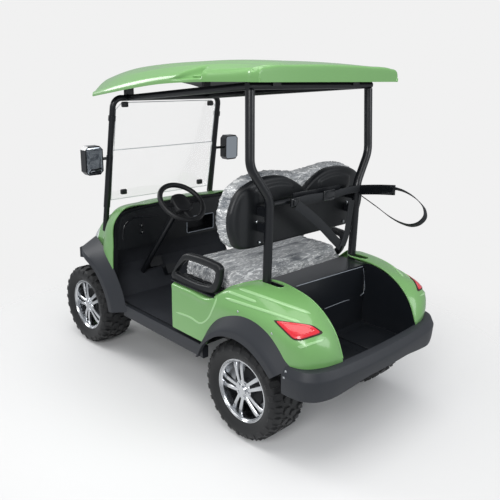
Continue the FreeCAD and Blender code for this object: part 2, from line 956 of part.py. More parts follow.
def make_cowl_trim():
    """The black surround between the hood's rear edge, the dash and the floor."""
    hood = inward(cowl_grid(), s.panel_wall + s.soft_gap)
    x = max(point.x for point in hood[0])
    outer = [V(x, point.y, point.z) for point in section(hood, x + float(s.trim_depth))]
    half = floor_half
    opening = [(half * y, dash_low + s.dash_height * z) for y, z in DASH_SHARES]
    low = deck - s.floor_wall
    left = [spot(0, half, low)] + [spot(0, y, z) for y, z in opening]
    right = [V(0, -point.y, point.z) for point in reversed(left[:-1])]
    inner = [V(x, point.y, point.z) for point in left + right]
    outer[0] = V(x, outer[0].y, float(low))
    outer[-1] = V(x, outer[-1].y, float(low))
    loop = outer + inner[::-1]
    face = Part.Face(Part.makePolygon(loop + [loop[0]]))
    keep(solid("CowlTrim", face.extrude(spot(s.trim_depth, 0, 0))), "cowl_trim")


# Rows run from the rear to the nose; each gives its place along the hood, then the half
# width and height of its lower edge, side, shoulder and top, and the height of the crown.
COWL_SHARES = [
    (0.00, (1.00, 0.00), (0.99, 0.60), (0.955, 0.86), (0.86, 0.955), (0.45, 0.99), 1.00),
    (0.18, (0.99, 0.00), (0.96, 0.58), (0.910, 0.80), (0.82, 0.910), (0.44, 0.97), 0.98),
    (0.36, (0.93, 0.00), (0.86, 0.54), (0.800, 0.70), (0.74, 0.800), (0.40, 0.89), 0.91),
    (0.55, (0.84, 0.02), (0.80, 0.48), (0.750, 0.62), (0.66, 0.730), (0.34, 0.80), 0.82),
    (0.75, (0.72, 0.04), (0.70, 0.40), (0.640, 0.51), (0.54, 0.600), (0.27, 0.66), 0.68),
    (0.90, (0.60, 0.06), (0.58, 0.31), (0.520, 0.40), (0.43, 0.470), (0.21, 0.52), 0.54),
    (1.00, (0.48, 0.08), (0.46, 0.22), (0.410, 0.29), (0.33, 0.340), (0.16, 0.37), 0.38),
]


HEAD_LAMP_SHARES = [(.997, .825, .783), (1.006, .783, .930), (1.124, .633, .760),
                    (1.154, .575, .565), (1.095, .700, .609)]
HEAD_LAMP_FACING_SHARES = (0.45, 0.85, 0.25)


def cowl_grid():
    """The outside of the hood, from the left lower edge over the crown to the right one."""
    grid = []
    for share, *sides, crown in COWL_SHARES:
        x = dash_back + s.cowl_lap + s.cowl_length * share
        left = [spot(x, wide(y), deck + s.cowl_rise * z) for y, z in sides]
        middle = spot(x, 0, deck + s.cowl_rise * crown)
        right = [V(point.x, -point.y, point.z) for point in reversed(left)]
        grid.append(left + [middle] + right)
    return grid


def make_cowl():
    """The hood and front fenders, a shell that is open to the cab, below and in the nose,
    with the wheel arches cut out."""
    hood = solid("Hood", shell(cowl_grid(), s.panel_wall))
    arches = [rod("Arch", (front, s.arch_start * side, s.tyre_radius),
                  (front, s.body_half * side * 2, s.tyre_radius), s.front_arch_cut)
              for side in (1, -1)]
    keep(cut("Cowl", hood, *arches), "front_cowl")
    corners = [spot(along(x), wide(y), high(z)) for x, y, z in HEAD_LAMP_SHARES]
    sweep = V(HEAD_LAMP_FACING_SHARES) * float(s.body_half / 4)
    lamp = surface_patch(cowl_grid(), corners, s.lamp_proud, sweep)
    keep(both("HeadLamps", lamp, mirrored("RightHeadLamp", lamp)), "head_lamps")


def cowl_block():
    """The hood's outside with a deep wall, to trim what lies on it."""
    return solid("HoodBlock", shell(cowl_grid(), s.seat_in))


# Places around an arch: the angle from straight ahead, how far the outer edge lies beyond
# the arch's opening, and the half widths of the panel that it meets and of its lip.
FRONT_FLARE_SHARES = [
    (168, 1.00, 1.00, 1.00), (155, 1.00, 1.00, 1.00), (140, 0.99, 1.00, 1.00),
    (122, 0.95, 0.97, 1.00), (106, 0.80, 0.90, 1.00), (92, 0.66, 0.82, 0.94),
    (80, 0.52, 0.74, 0.84), (68, 0.38, 0.68, 0.77), (56, 0.26, 0.62, 0.73),
]
REAR_FLARE_SHARES = [
    (19, 0.17, 1.00, 1.00), (38, 0.34, 1.00, 1.00), (54, 0.50, 1.00, 1.00),
    (72, 0.72, 1.00, 1.00), (90, 0.92, 1.00, 1.00), (108, 1.00, 1.00, 1.00),
    (126, 1.00, 0.99, 1.00), (142, 0.98, 0.97, 0.99),
]


def flare_grid(axle_x, radius, shares):
    """The inner side of a flare: its lip, its widest line and its edge on the panel."""
    grid = []
    for angle, reach, half, lip in reversed(sorted(shares)):
        turn = math.radians(angle)
        ray = V(math.cos(turn), 0, math.sin(turn))
        centre = spot(axle_x, 0, s.tyre_radius)
        body_y = wide(half) + s.soft_gap
        lip_y = (s.body_half + s.lip_reach) * lip
        edge = radius + s.flare_width * reach
        crest = radius + s.flare_width * reach * s.crest_share
        rows = [(radius, lip_y - s.lip_fold), (radius, lip_y), (crest, lip_y), (edge, body_y)]
        grid.append([centre + ray * float(out) + V(0, float(y), 0) for out, y in rows])
    return grid


def make_flares(bumper, quarter):
    """The dark flares around the four arches, trimmed where they meet other panels."""
    for name, axle_x, radius, shares, tools in (
            ("front_flares", front, s.front_arch_radius, FRONT_FLARE_SHARES, [cowl_block()]),
            ("rear_flares", rear, s.arch_radius, REAR_FLARE_SHARES, [bumper, quarter])):
        flare = solid("Flare", shell(flare_grid(axle_x, radius, shares), -s.flare_wall))
        left = cut("TrimmedFlare", flare, *tools)
        keep(both("Flares", left, mirrored("RightFlare", left)), name)


def make_sills():
    """A step with a sloped top on each side, between the arches."""
    outer = s.body_half
    edge = s.sill_edge
    low = deck + s.sill_rise - s.sill_height
    top = deck + s.sill_rise
    start = rear + s.arch_radius - s.sill_lap
    length = front - s.front_arch_radius - s.sill_front_gap - start
    left = slab("Sill", "YZ", start, length, [
        (floor_half, low), (outer - edge, low), (outer, low + edge), (outer, top),
        (outer - edge, top), (floor_half, deck + edge / 2),
    ])
    keep(both("Sills", left, mirrored("RightSill", left)), "sills")


def make_grille():
    """The dark panel that closes the nose between the lamps."""
    hood = inward(cowl_grid(), s.panel_wall + s.soft_gap)
    outline = section(hood, min(point.x for point in hood[-1]))
    face = Part.Face(Part.makePolygon(outline + [outline[0]]))
    keep(solid("Grille", face.extrude(V(-float(s.panel_wall), 0, 0))), "front_grille")


def make_front_bumper():
    """A wide upper blade with swept tips over a narrow lower part on the frame."""
    back = nose_x - s.bumper_setback
    top = deck + s.front_bumper_rise
    low = top - s.blade_height
    deep = nose_x - back
    blade = slab("Blade", "XY", low, s.blade_height, [
        (nose_x, -s.blade_half / 2), (nose_x, s.blade_half / 2),
        (nose_x - deep / 2, s.blade_half * 3 / 4), (back - deep / 2, s.blade_half),
        (back - deep, s.blade_half - deep / 4), (back, s.blade_half * 2 / 3),
        (back, -s.blade_half * 2 / 3), (back - deep, -s.blade_half + deep / 4),
        (back - deep / 2, -s.blade_half), (nose_x - deep / 2, -s.blade_half * 3 / 4),
    ])
    chin = slab("Chin", "XZ", -s.chin_half, s.chin_half * 2, [
        (back, front_rail_low), (nose_x - deep / 2, front_rail_low), (nose_x, low),
        (back, low),
    ])
    keep(fused("FrontBumper", blade, chin), "front_bumper")


def surface_patch(grid, corners, proud, sweep):
    """The layer just outside a surface, within a prism that is swept through corners."""
    layer = solid("Layer", shell(grid, -proud))
    middle = corners[0]
    for corner in corners[1:]:
        middle = middle + corner
    middle = middle / len(corners)
    way = V(sweep).normalize()
    flat = [corner - way * (corner - middle).dot(way) - sweep / 2 for corner in corners]
    prism = solid("Prism", Part.Face(Part.makePolygon(flat + [flat[0]])).extrude(sweep))
    item = doc.addObject("Part::Common", "Patch")
    item.Base = layer
    item.Tool = prism
    return item


# Rear body

# Rows run from the bag well's lower corner round the tail and forward to the cab; each
# gives its lower edge, side, shoulder, top and inner edge, each point as shares of the
# wheelbase, of the body's half width and of the belt's rise.
PANEL_SHARES = [
    [(-.299, .588, .326), (-.299, .588, .335), (-.299, .587, .345), (-.298, .586, .355),
     (-.297, .585, .365)],
    [(-.284, .790, .305), (-.290, .775, .430), (-.283, .735, .570), (-.268, .670, .660),
     (-.253, .585, .680)],
    [(-.250, .940, .265), (-.258, .940, .430), (-.258, .915, .610), (-.240, .790, .760),
     (-.213, .585, .815)],
    [(-.195, .995, .220), (-.203, 1.00, .430), (-.200, .990, .650), (-.178, .840, .835),
     (-.160, .585, .920)],
    [(-.118, 1.00, .140), (-.118, 1.00, .430), (-.118, .995, .720), (-.105, .880, .890),
     (-.095, .585, .975)],
    [(0.00, 1.00, .080), (0.00, 1.00, .430), (0.00, .995, .780), (0.00, .910, .920),
     (0.00, .585, .990)],
    [(.089, 1.00, .080), (.089, 1.00, .400), (.089, 1.00, .760), (.089, .950, .885),
     (.089, .870, .915)],
    [(.167, .997, .080), (.167, 1.00, .350), (.167, 1.00, .620), (.167, 1.00, .690),
     (.167, .935, .722)],
    [(.266, .997, .080), (.266, 1.00, .350), (.266, 1.00, .620), (.266, 1.00, .690),
     (.266, .935, .720)],
    [(.366, .995, .080), (.366, 1.00, .350), (.366, 1.00, .620), (.366, 1.00, .690),
     (.366, .935, .717)],
]
LAMP_SHARES = [(-.140, .990, .776), (-.221, .800, .737), (-.253, .733, .676), (-.228, .967, .652)]
LAMP_FACING_SHARES = (-0.55, 0.55, 0.63)


def panel_grid():
    """The outside of the left rear panel."""
    return [[spot(along(x), wide(y), high(z)) for x, y, z in row] for row in PANEL_SHARES]


def make_rear_panels(bumper):
    """The rear quarter panels with their wheel arches and the slots for the rear posts,
    and the tail lamps that lie on them."""
    panel = solid("Quarter", shell(panel_grid(), s.panel_wall))
    arch = rod("Arch", (rear, well_half + s.panel_wall, s.tyre_radius),
               (rear, s.body_half * 2, s.tyre_radius), s.arch_cut)
    slot = box("Slot", (strut_x - s.slot_reach, strut_x + s.rear_strut),
               (strut_y - s.slot_half, strut_y + s.slot_half),
               (high(s.slot_low_share), high(s.open_top_share)))
    beside_well = box("BesideWell", (tail_x - s.rear_overhang, front), (0, well_half + s.soft_gap),
                      (0, deck + s.belt_rise * 2))
    left = cut("Panel", panel, arch, slot, bumper, beside_well)
    keep(left, "rear_panel_left")
    right = keep(mirrored("RightPanel", left), "rear_panel_right")
    corners = [spot(along(x), wide(y), high(z)) for x, y, z in LAMP_SHARES]
    sweep = V(LAMP_FACING_SHARES) * float(s.body_half / 4)
    lamp = surface_patch(panel_grid(), corners, s.lamp_proud, sweep)
    keep(both("TailLamps", lamp, mirrored("RightTailLamp", lamp)), "tail_lamps")
    return left, right


strut_x = rear + s.strut_set


def make_seat_box(quarters):
    """The black box under the seat, with the shelf behind the seat and the hatch to the
    battery in its lower top deck, open below."""
    wall = s.seat_wall
    floor = deck - s.floor_wall
    top = deck + s.seat_deck_rise
    shelf = deck + s.tower_rise
    hump = deck + s.well_floor_rise - s.well_wall
    wide_half = s.body_half - s.panel_wall - s.soft_gap
    x_front = rear + s.seat_front
    x_back = rear - s.tower_rear
    x_tower = rear + s.tower_front
    blocks = [
        box("Wide", (kick_x, x_front), (-floor_half, floor_half), (floor, top)),
        box("Middle", (x_back, kick_x), (-tower_half, tower_half), (hump, top)),
        box("Tower", (x_back, x_tower), (-tower_half, tower_half), (top, shelf)),
        box("Deck", (x_tower, x_front), (-wide_half, wide_half), (top - wall, top)),
    ]
    spaces = [
        box("WideSpace", (kick_x + wall, x_front - wall),
            (-floor_half + wall, floor_half - wall), (floor, top - wall)),
        box("MiddleSpace", (x_back + wall, kick_x + wall),
            (-tower_half + wall, tower_half - wall), (hump, top - wall)),
        box("TowerSpace", (x_back + wall, x_tower - wall),
            (-tower_half + wall, tower_half - wall), (top - wall, shelf - wall)),
        box("Hatch", (kick_x + s.hatch_rim, x_front - s.hatch_rim),
            (-seat_half + s.hatch_rim, seat_half - s.hatch_rim), (top - wall, top)),
    ]
    hollow = cut("SeatBoxWalls", fused("SeatBoxBlock", *blocks), *spaces)
    keep(cut("SeatBox", hollow, *quarters), "seat_box")


WELL_TOP_SHARES = [(-.075, .95), (-.097, .96), (-.160, .905), (-.213, .80), (-.253, .668),
                   (-.297, .355)]


def make_bag_well():
    """The tub behind the seat box, open above and to the rear."""
    floor = deck + s.well_floor_rise
    bottom = floor - s.well_wall
    x_front = rear - s.tower_rear - s.soft_gap
    x_back = tail_x
    rim = [(along(x), high(z)) for x, z in WELL_TOP_SHARES]
    tub = span("Tub", "XZ", well_half, [
        (x_front, bottom), (x_front, high(WELL_TOP_SHARES[0][1])), *rim,
        (x_back, high(s.well_rear_share)), (x_back, bottom),
    ])
    inner = well_half - s.well_wall
    space = span("TubSpace", "XZ", inner, [
        (x_front + s.well_wall, floor), (x_front + s.well_wall, high(s.open_top_share)),
        (x_back - s.well_wall, high(s.open_top_share)), (x_back - s.well_wall, floor),
    ])
    keep(cut("BagWell", tub, space), "bag_well")


# The plan of the tail, from the middle out: shares of the rear overhang behind the axle and
# of the body's half width, then the same for its inner side beyond the bag well.
BUMPER_SHARES = [(1.0, 0.0), (0.995, 0.30), (0.975, 0.60), (0.945, 0.80), (0.885, 0.94),
                 (0.80, 1.01), (0.68, 1.04), (0.57, 1.045)]
BUMPER_INNER_SHARES = [(0.57, 0.94), (0.72, 0.92), (0.82, 0.82)]


def make_rear_bumper():
    """The dark bumper that wraps round the tail, with two holes in its rear face."""
    low = deck - s.bumper_drop
    reach = s.rear_overhang
    outer = [(rear - reach * x, s.body_half * y) for x, y in BUMPER_SHARES]
    inner = [(rear - reach * x, s.body_half * y) for x, y in BUMPER_INNER_SHARES]
    inner.append((tail_x, s.body_half * s.tub_side_share))
    half = outer + inner
    loop = half + [(x, -y) for x, y in reversed(half[1:])]
    body = slab("Bumper", "XY", low, s.bumper_height, loop)
    tail = rear - reach
    height = low + s.tow_hole_rise
    holes = [rod("TowHole", (tail - s.bumper_depth, s.tow_hole_spacing / 2 * side, height),
                 (tail + s.bumper_depth * 2, s.tow_hole_spacing / 2 * side, height),
                 s.tow_hole_radius) for side in (1, -1)]
    return keep(cut("RearBumper", body, *holes), "rear_bumper")


# Roof and struts

# Rows run from the rear to the nose: the place along the roof, the half width, then how far
# the lower edge, lip, shoulder, top and crown lie under the highest point, as shares.
ROOF_SHARES = [
    (0.00, 0.965, 0.420, 0.170, 0.120, 0.085, 0.065),
    (0.12, 0.985, 0.444, 0.250, 0.125, 0.045, 0.022),
    (0.30, 1.000, 0.484, 0.340, 0.160, 0.032, 0.000),
    (0.50, 1.000, 0.575, 0.480, 0.260, 0.090, 0.050),
    (0.70, 0.990, 0.735, 0.665, 0.430, 0.190, 0.130),
    (0.86, 0.968, 0.880, 0.830, 0.630, 0.330, 0.250),
    (1.00, 0.930, 1.000, 0.965, 0.860, 0.560, 0.450),
]
ROOF_ACROSS_SHARES = [1.0, 1.0, 0.9, 0.55, 0.0]


def roof_grid():
    """The outside of the roof, from the left lower edge over the crown to the right one."""
    crown = deck + s.roof_rise
    grid = []
    for share, half, *drops in ROOF_SHARES:
        left = []
        for across, drop in zip(ROOF_ACROSS_SHARES, drops):
            bow = s.roof_bow * (share * share) * (1 - across * across)
            x = rear - s.roof_tail + (s.roof_length - s.roof_bow) * share + bow
            left.append(spot(x, roof_half * half * across, crown - s.roof_camber * drop))
        right = [V(point.x, -point.y, point.z) for point in reversed(left[:-1])]
        grid.append(left + right)
    return grid


def make_roof():
    """The roof moulding, a wall that turns down all along its sides and its rear, and the
    dark liner that closes it from below."""
    tail = roof_grid()[0]
    outline = tail + liner_grid(0)[0][::-1]
    outline = [V(tail[0].x, point.y, point.z) for point in outline]
    face = Part.Face(Part.makePolygon(outline + [outline[0]]))
    end = solid("RoofEnd", face.extrude(spot(s.roof_wall, 0, 0)))
    keep(fused("Roof", solid("RoofShell", shell(roof_grid(), s.roof_wall)), end), "roof")
    liner = solid("Liner", between(liner_grid(s.liner_wall), liner_grid(0)))
    wall = solid("RoofWall", shell(roof_grid(), s.roof_wall + s.soft_gap))
    keep(cut("RoofLiner", liner, wall), "roof_liner")


LINER_ACROSS_SHARES = (1, 0.7, 0.35, 0, -0.35, -0.7, -1)


def liner_grid(lift):
    """One side of the liner: it spans the roof's lower edges and arches up to its nose."""
    grid = []
    for shares, row in zip(ROOF_SHARES, roof_grid()):
        edge = row[0]
        middle = row[len(row) // 2]
        share = shares[0]
        start = 0 if share else float(s.roof_wall + s.soft_gap)
        half = edge.y - float(s.roof_wall + s.soft_gap)
        rise = float(s.liner_rise)
        rise = rise + (middle.z - edge.z - rise * s.liner_nose_share.number) * share * share
        points = []
        for across in LINER_ACROSS_SHARES:
            arch = 1 - across * across
            points.append(V(edge.x + start + (middle.x - edge.x) * arch, half * across,
                            edge.z + float(s.liner_lift + lift) + rise * arch))
        grid.append(points)
    return grid


def lean_x(rise):
    """Where the screen's plane lies at a rise above the deck."""
    return rear + s.screen_top_x + s.screen_lean * (s.screen_top_rise - rise)


SLEEVE_SHARES = (0.19, 0.585)
COLLAR_SHARES = (0.84, 0.875)


def strut_across(share):
    """How far out the front strut is, at a share of its way from its foot to its bend."""
    return foot_y + (bend_y - foot_y) * share


def make_struts():
    """The bent tubes that carry the roof: two at the cowl, two behind the seat."""
    top = s.front_bar_rise
    foot = spot(lean_x(s.strut_foot_rise), foot_y, deck + s.strut_foot_rise)
    corner = spot(lean_x(top), bend_y, deck + top)
    end = spot(lean_x(top), front_bar_half, deck + top)
    tube = solid("FrontTube", pipe([foot, corner, end], s.front_tube / 2, s.front_bend))
    sleeve_ends = [foot + (corner - foot) * share for share in SLEEVE_SHARES + COLLAR_SHARES]
    sleeve = solid("Sleeve", Part.makeCylinder(
        float(s.sleeve_radius), (sleeve_ends[1] - sleeve_ends[0]).Length, sleeve_ends[0],
        corner - foot))
    collar = solid("Collar", Part.makeCylinder(
        float(s.collar_radius), (sleeve_ends[3] - sleeve_ends[2]).Length, sleeve_ends[2],
        corner - foot))
    left = cut("FrontStrut", fused("FrontPost", tube, sleeve, collar), cowl_block())
    keep(left, "front_strut_left")
    keep(mirrored("RightFrontStrut", left), "front_strut_right")
    half = s.rear_strut / 2
    low = spot(strut_x, strut_y, high(s.strut_foot_share))
    knee = spot(strut_x, strut_y, deck + s.knee_rise)
    hip = spot(strut_x + s.strut_sweep, strut_top_y, deck + s.hip_rise)
    head = spot(strut_x + s.strut_sweep * 2, strut_top_y - s.strut_tuck, deck + s.head_rise)
    tube = solid("RearTube", pipe([low, knee, hip, head], half, s.rear_bend))
    tower = box("PostPlate", (strut_x - half, strut_x + half),
                (tower_half, strut_y),
                (high(s.plate_low_share), high(s.plate_top_share)))
    stays = [box("Stay", (strut_x, rear + s.back_shell_x), (strut_y - half / 2,
                 strut_y + half / 2), (deck + rise, deck + rise + s.rear_strut))
             for rise in (s.back_low_rise + s.rear_strut * 2, s.knee_rise - s.rear_strut * 2)]
    left = fused("RearStrut", tube, tower, *stays)
    keep(left, "rear_strut_left")
    keep(mirrored("RightRearStrut", left), "rear_strut_right")


def make_roof_frame():
    """The cross tubes and side tubes under the roof, between the four struts, with pads
    that carry the liner."""
    radius = s.front_tube / 2
    bar_x = lean_x(s.front_bar_rise)
    front_z = deck + s.front_bar_rise
    inset = front_bar_half - s.front_tube
    head_x = strut_x + s.strut_sweep * 2
    head_y = strut_top_y - s.strut_tuck
    head_z = deck + s.head_rise + radius
    parts = [
        rod("FrontBar", (bar_x, -front_bar_half, front_z), (bar_x, front_bar_half, front_z),
            radius),
        rod("RearBar", (head_x, -head_y - radius, head_z), (head_x, head_y + radius, head_z),
            radius),
    ]
    half = s.pad_size / 2
    for side in (1, -1):
        parts.append(rod("SideBar", (head_x, head_y * side, head_z),
                         (bar_x, inset * side, front_z), radius))
        for x, z, deep in ((head_x, head_z, half), (bar_x, front_z, half / 2)):
            y = inset * side
            parts.append(box("LinerPad", (x - deep, x + deep), (y - half, y + half),
                             (z, z + s.pad_size * 4)))
    above = [[point + V(0, 0, float(s.roof_camber) * 2) for point in row]
             for row in liner_grid(0)]
    space = solid("AboveLiner", between(above, liner_grid(0)))
    posts = [item for item in pieces if item.Label in ("rear_strut_left", "rear_strut_right")]
    keep(cut("RoofFrame", fused("RoofTubes", *parts), space, *posts), "roof_frame")


def make_screen():
    """Two clear panes one above the other, leaning back with the front struts."""
    lean = math.degrees(math.atan(float(s.screen_lean)))
    slope = math.sqrt(1 + float(s.screen_lean) ** 2)
    seam_rise = s.screen_low_rise + (s.screen_head_rise - s.screen_low_rise) * s.screen_seam_share
    low_half = strut_across(SLEEVE_SHARES[1]) - s.sleeve_radius - s.soft_gap
    top_half = strut_across(COLLAR_SHARES[1]) - s.collar_radius - s.soft_gap
    for name, half, low, top, corner in (
            ("windscreen_lower", low_half, s.screen_low_rise, seam_rise, s.screen_wall),
            ("windscreen_upper", top_half, seam_rise, s.screen_head_rise, s.screen_corner)):
        tall = (top - low) * slope - s.soft_gap
        pane = slab("Pane", "YZ", -s.screen_wall / 2, s.screen_wall, [
            (-half, 0), (half, 0), (half, tall - corner), (half - corner, tall),
            (-half + corner, tall), (-half, tall - corner),
        ])
        place(pane, lean_x(low), 0, deck + low)
        pane.Placement.Rotation = FreeCAD.Rotation(SIDEWAYS, -lean)
        keep(pane, name)


def make_mirrors():
    """A mirror head on a short arm from each front strut."""
    half_w = s.mirror_width / 2
    half_h = s.mirror_height / 2
    corner = s.mirror_corner
    mirror_y = s.body_half + s.mirror_outset
    x = lean_x(s.mirror_rise) - s.mirror_depth / 2 - s.front_tube / 2
    z = deck + s.mirror_rise
    head = slab("MirrorHead", "YZ", x, s.mirror_depth, [
        (mirror_y - half_w + corner, z - half_h), (mirror_y + half_w - corner, z - half_h),
        (mirror_y + half_w, z - half_h + corner), (mirror_y + half_w, z + half_h - corner),
        (mirror_y + half_w - corner, z + half_h), (mirror_y - half_w + corner, z + half_h),
        (mirror_y - half_w, z + half_h - corner), (mirror_y - half_w, z - half_h + corner),
    ])
    share = (s.mirror_rise - s.strut_foot_rise) / (s.front_bar_rise - s.strut_foot_rise)
    start = strut_across(share) + s.sleeve_radius + s.soft_gap
    arm = rod("MirrorArm", (lean_x(s.mirror_rise), start, z),
              (lean_x(s.mirror_rise), mirror_y - half_w + corner, z), s.mirror_arm_radius)
    left = fused("Mirror", head, arm)
    keep(both("Mirrors", left, mirrored("RightMirror", left)), "mirrors")


# Seat

SEAT_FRONT_SHARES = [(0.08, 0.0), (0.0, 0.22), (0.0, 0.60), (0.10, 0.85), (0.34, 1.0)]


def make_seat():
    """The seat's hinged base board and its cushion, whose rear slopes away to tilt."""
    start = rear + s.seat_back_x
    end = rear + s.seat_front + s.seat_overhang
    low = deck + s.seat_deck_rise + s.seat_rest_gap
    top = low + s.seat_base_thickness
    board = box("Board", (start, end - s.seat_overhang), (-seat_half, seat_half), (low, top))
    middle = low + s.seat_base_thickness / 2
    knuckles = [rod("HingeKnuckle", (start, s.hinge_y * side - s.hinge_length / 2, middle),
                    (start, s.hinge_y * side + s.hinge_length / 2, middle), s.hinge_radius)
                for side in (1, -1)]
    keep(fused("SeatBase", board, *knuckles), "seat_base")
    thick = s.seat_cushion_thickness
    front_edge = [(end - thick * x, top + thick * z) for x, z in SEAT_FRONT_SHARES]
    back = start + s.seat_overhang
    keep(span("SeatCushion", "XZ", seat_half, [
        (back, top), *front_edge, (back + s.seat_rear_slope, top + thick),
    ]), "seat_cushion")


BACK_SHARES = [(0.0, 0.73), (0.18, 0.90), (0.34, 0.985), (0.48, 1.0), (0.72, 0.96), (0.90, 0.84),
               (1.0, 0.60), (0.99, 0.22), (0.92, 0.05), (0.70, 0.0)]


def back_outline(half, low, top):
    right = [(half * y, low + (top - low) * z) for y, z in BACK_SHARES]
    return right + [(-y, z) for y, z in reversed(right[1:])]


def make_backrest():
    """The moulded back shell with its two humps and the cushion that it carries."""
    x = rear + s.back_shell_x
    low = deck + s.back_low_rise
    top = deck + s.back_high_rise
    half = s.body_half - s.back_inset
    shell_body = slab("BackShell", "YZ", x, s.back_shell_depth, back_outline(half, low, top))
    keep(shell_body, "backrest_shell")
    cushion = slab("BackCushion", "YZ", x + s.back_shell_depth + s.soft_gap,
                   s.back_cushion_depth,
                   back_outline(half + s.back_overlap, low, top + s.back_overlap * 2))
    keep(cushion, "backrest_cushion")


ARMREST_SHARES = [(1.0, 0.0), (0.72, 0.88), (0.62, 1.0), (0.06, 1.0), (0.0, 0.86), (0.16, 0.0)]


def make_armrests():
    """A closed ring on each side panel beside the seat."""
    x = rear + s.armrest_x
    low = deck + s.seat_deck_rise + s.soft_gap
    tube = s.armrest_tube
    outer = [(x + s.armrest_length * a, low + s.armrest_height * b) for a, b in ARMREST_SHARES]
    inner = [(x + tube + (s.armrest_length - tube * 2) * a,
              low + tube + (s.armrest_height - tube * 2) * b) for a, b in ARMREST_SHARES]
    y = s.body_half - s.armrest_inset - tube
    left = slab("Armrest", "XZ", y, tube, outer, inner)
    keep(both("Armrests", left, mirrored("RightArmrest", left)), "armrests")


def make_bag_holder():
    """The cross bar between the rear posts with its plate, and the strap that it holds."""
    z = deck + s.bag_bar_rise
    reach = strut_y - s.rear_strut / 2
    bar = rod("BagBar", (strut_x, -reach, z), (strut_x, reach, z), s.bag_bar_radius)
    plate = box("BagPlate", (strut_x - s.bag_plate_depth, strut_x),
                (-s.bag_plate_half, s.bag_plate_half),
                (z - s.bag_plate_height / 2, z + s.bag_plate_height / 2))
    keep(fused("BagHolder", bar, plate), "bag_holder")


# Steering and pedals

wheel_x = rear + s.wheel_centre_x
wheel_z = deck + s.wheel_centre_rise


def ahead_of_wheel(distance):
    """A place on the steering axis, ahead of the steering wheel and below it."""
    return (wheel_x + distance * trig("sin", s.column_angle), s.wheel_centre_y,
            wheel_z - distance * trig("cos", s.column_angle))


def make_steering():
    """The steering wheel with three spokes, and its column down to the toe board."""
    body = new_body("Wheel")
    ring = s.wheel_rim_radius
    reach = s.wheel_radius - ring
    corner = ring * s.grip_corner_share
    outline = sketch(body, "XZ", 0, [
        (reach - ring, -corner), (reach - corner, -ring), (reach + corner, -ring),
        (reach + ring, -corner), (reach + ring, corner), (reach + corner, ring),
        (reach - corner, ring), (reach - ring, corner),
    ])
    doc.recompute()
    rim = body.newObject("PartDesign::Revolution", "Rim")
    rim.Profile = outline
    rim.ReferenceAxis = (outline, ["V_Axis"])
    rim.Angle = 360
    half = s.wheel_spoke_width / 2
    inside = reach - ring / 2
    pad(body, sketch(body, "XY", -ring, [
        (-half, -inside), (half, -inside), (half, inside), (-half, inside),
    ]), ring)
    pad(body, sketch(body, "XY", -ring, [
        (-inside, -half), (0, -half), (0, half), (-inside, half),
    ]), ring)
    pad(body, sketch(body, "XY", -s.wheel_hub_depth, (0, 0, s.wheel_hub_radius)),
        s.wheel_hub_depth)
    place(body, wheel_x, s.wheel_centre_y, wheel_z)
    body.Placement.Rotation = FreeCAD.Rotation(SIDEWAYS, -float(s.column_angle))
    keep(body, "steering_wheel")
    start = ahead_of_wheel(s.wheel_hub_depth + s.pin_clearance)
    end = ahead_of_wheel(s.wheel_hub_depth + s.column_length)
    tube = rod("Column", start, end, s.column_radius)
    half_mat = s.mat_thickness / 2
    ahead = s.column_length
    block = span("ToeBlock", "XZ", floor_half, [
        (toe_x - half_mat, deck + s.mat_thickness),
        (fire_x - s.mat_thickness, fire_bend + half_mat),
        (fire_x - s.mat_thickness, deck + s.belt_rise),
        (fire_x + ahead, deck + s.belt_rise), (fire_x + ahead, deck - ahead),
        (toe_x - half_mat, deck - ahead),
    ])
    keep(cut("ColumnEnd", tube, block), "steering_column")


def make_pedals():
    """Two pedals that hang on the toe board: brake and drive."""
    run = spot(fire_x - toe_x, 0, fire_bend - deck)
    run.normalize()
    away = V(-run.z, 0, run.x)
    made = []
    for gap, share, width in ((s.pedal_gap, s.brake_share, s.brake_width),
                              (s.pedal_gap * s.drive_gap_share, s.drive_share, s.pedal_width)):
        y = s.wheel_centre_y - gap
        foot = spot(toe_x, y, deck) + run * float(s.firewall_run * 2 * share)
        foot = foot + away * float(s.mat_thickness + s.soft_gap * 3)
        half = float(width) / 2
        side = V(0, half, 0)
        tall = run * float(s.pedal_height)
        pad_face = Part.Face(Part.makePolygon([foot - side, foot + side, foot + side + tall,
                                               foot - side + tall, foot - side]))
        base = pad_face.extrude(away * float(s.pedal_wall))
        plate = base.copy()
        plate.translate(away * float(s.pedal_reach))
        arm = Part.makeCylinder(float(s.pedal_arm_radius), float(s.pedal_reach),
                                foot + tall / 2, away)
        made.append(solid("Pedal", base.fuse([plate, arm]).removeSplitter()))
    keep(both("Pedals", *made), "pedals")


def check():
    """Every object has to be sound before anything is written."""
    doc.recompute()
    for item in doc.Objects:
        if "Invalid" in item.State or "Error" in item.State:
            raise ValueError(f"{item.Name} {item.Label} is {item.State}")
    for item in pieces:
        if item.Shape.isNull() or not item.Shape.isValid():
            raise ValueError(f"{item.Label} has no sound shape")


def main():
    for make in (make_frame, make_rear_axle, make_motor, make_battery, make_front_axle,
                 make_knuckles, make_track_rod, make_wheels, make_floor, make_dashboard,
                 make_cowl_trim, make_cowl, make_grille, make_sills, make_front_bumper):
        make()
    bumper = make_rear_bumper()
    quarters = make_rear_panels(bumper)
    make_flares(bumper, quarters[0])
    make_seat_box(quarters)
    for make in (make_bag_well, make_roof, make_struts, make_roof_frame,
                 make_screen, make_mirrors, make_seat, make_backrest, make_armrests,
                 make_bag_holder, make_steering, make_pedals):
        make()
    check()
    for item in pieces:
        item.Shape.exportStep(f"parts/{item.Label}.step")
    print(len(pieces), "sub-parts")


main()
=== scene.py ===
import json
import math

import bmesh
import bpy
from mathutils import Matrix, Vector, noise
from mathutils.bvhtree import BVHTree


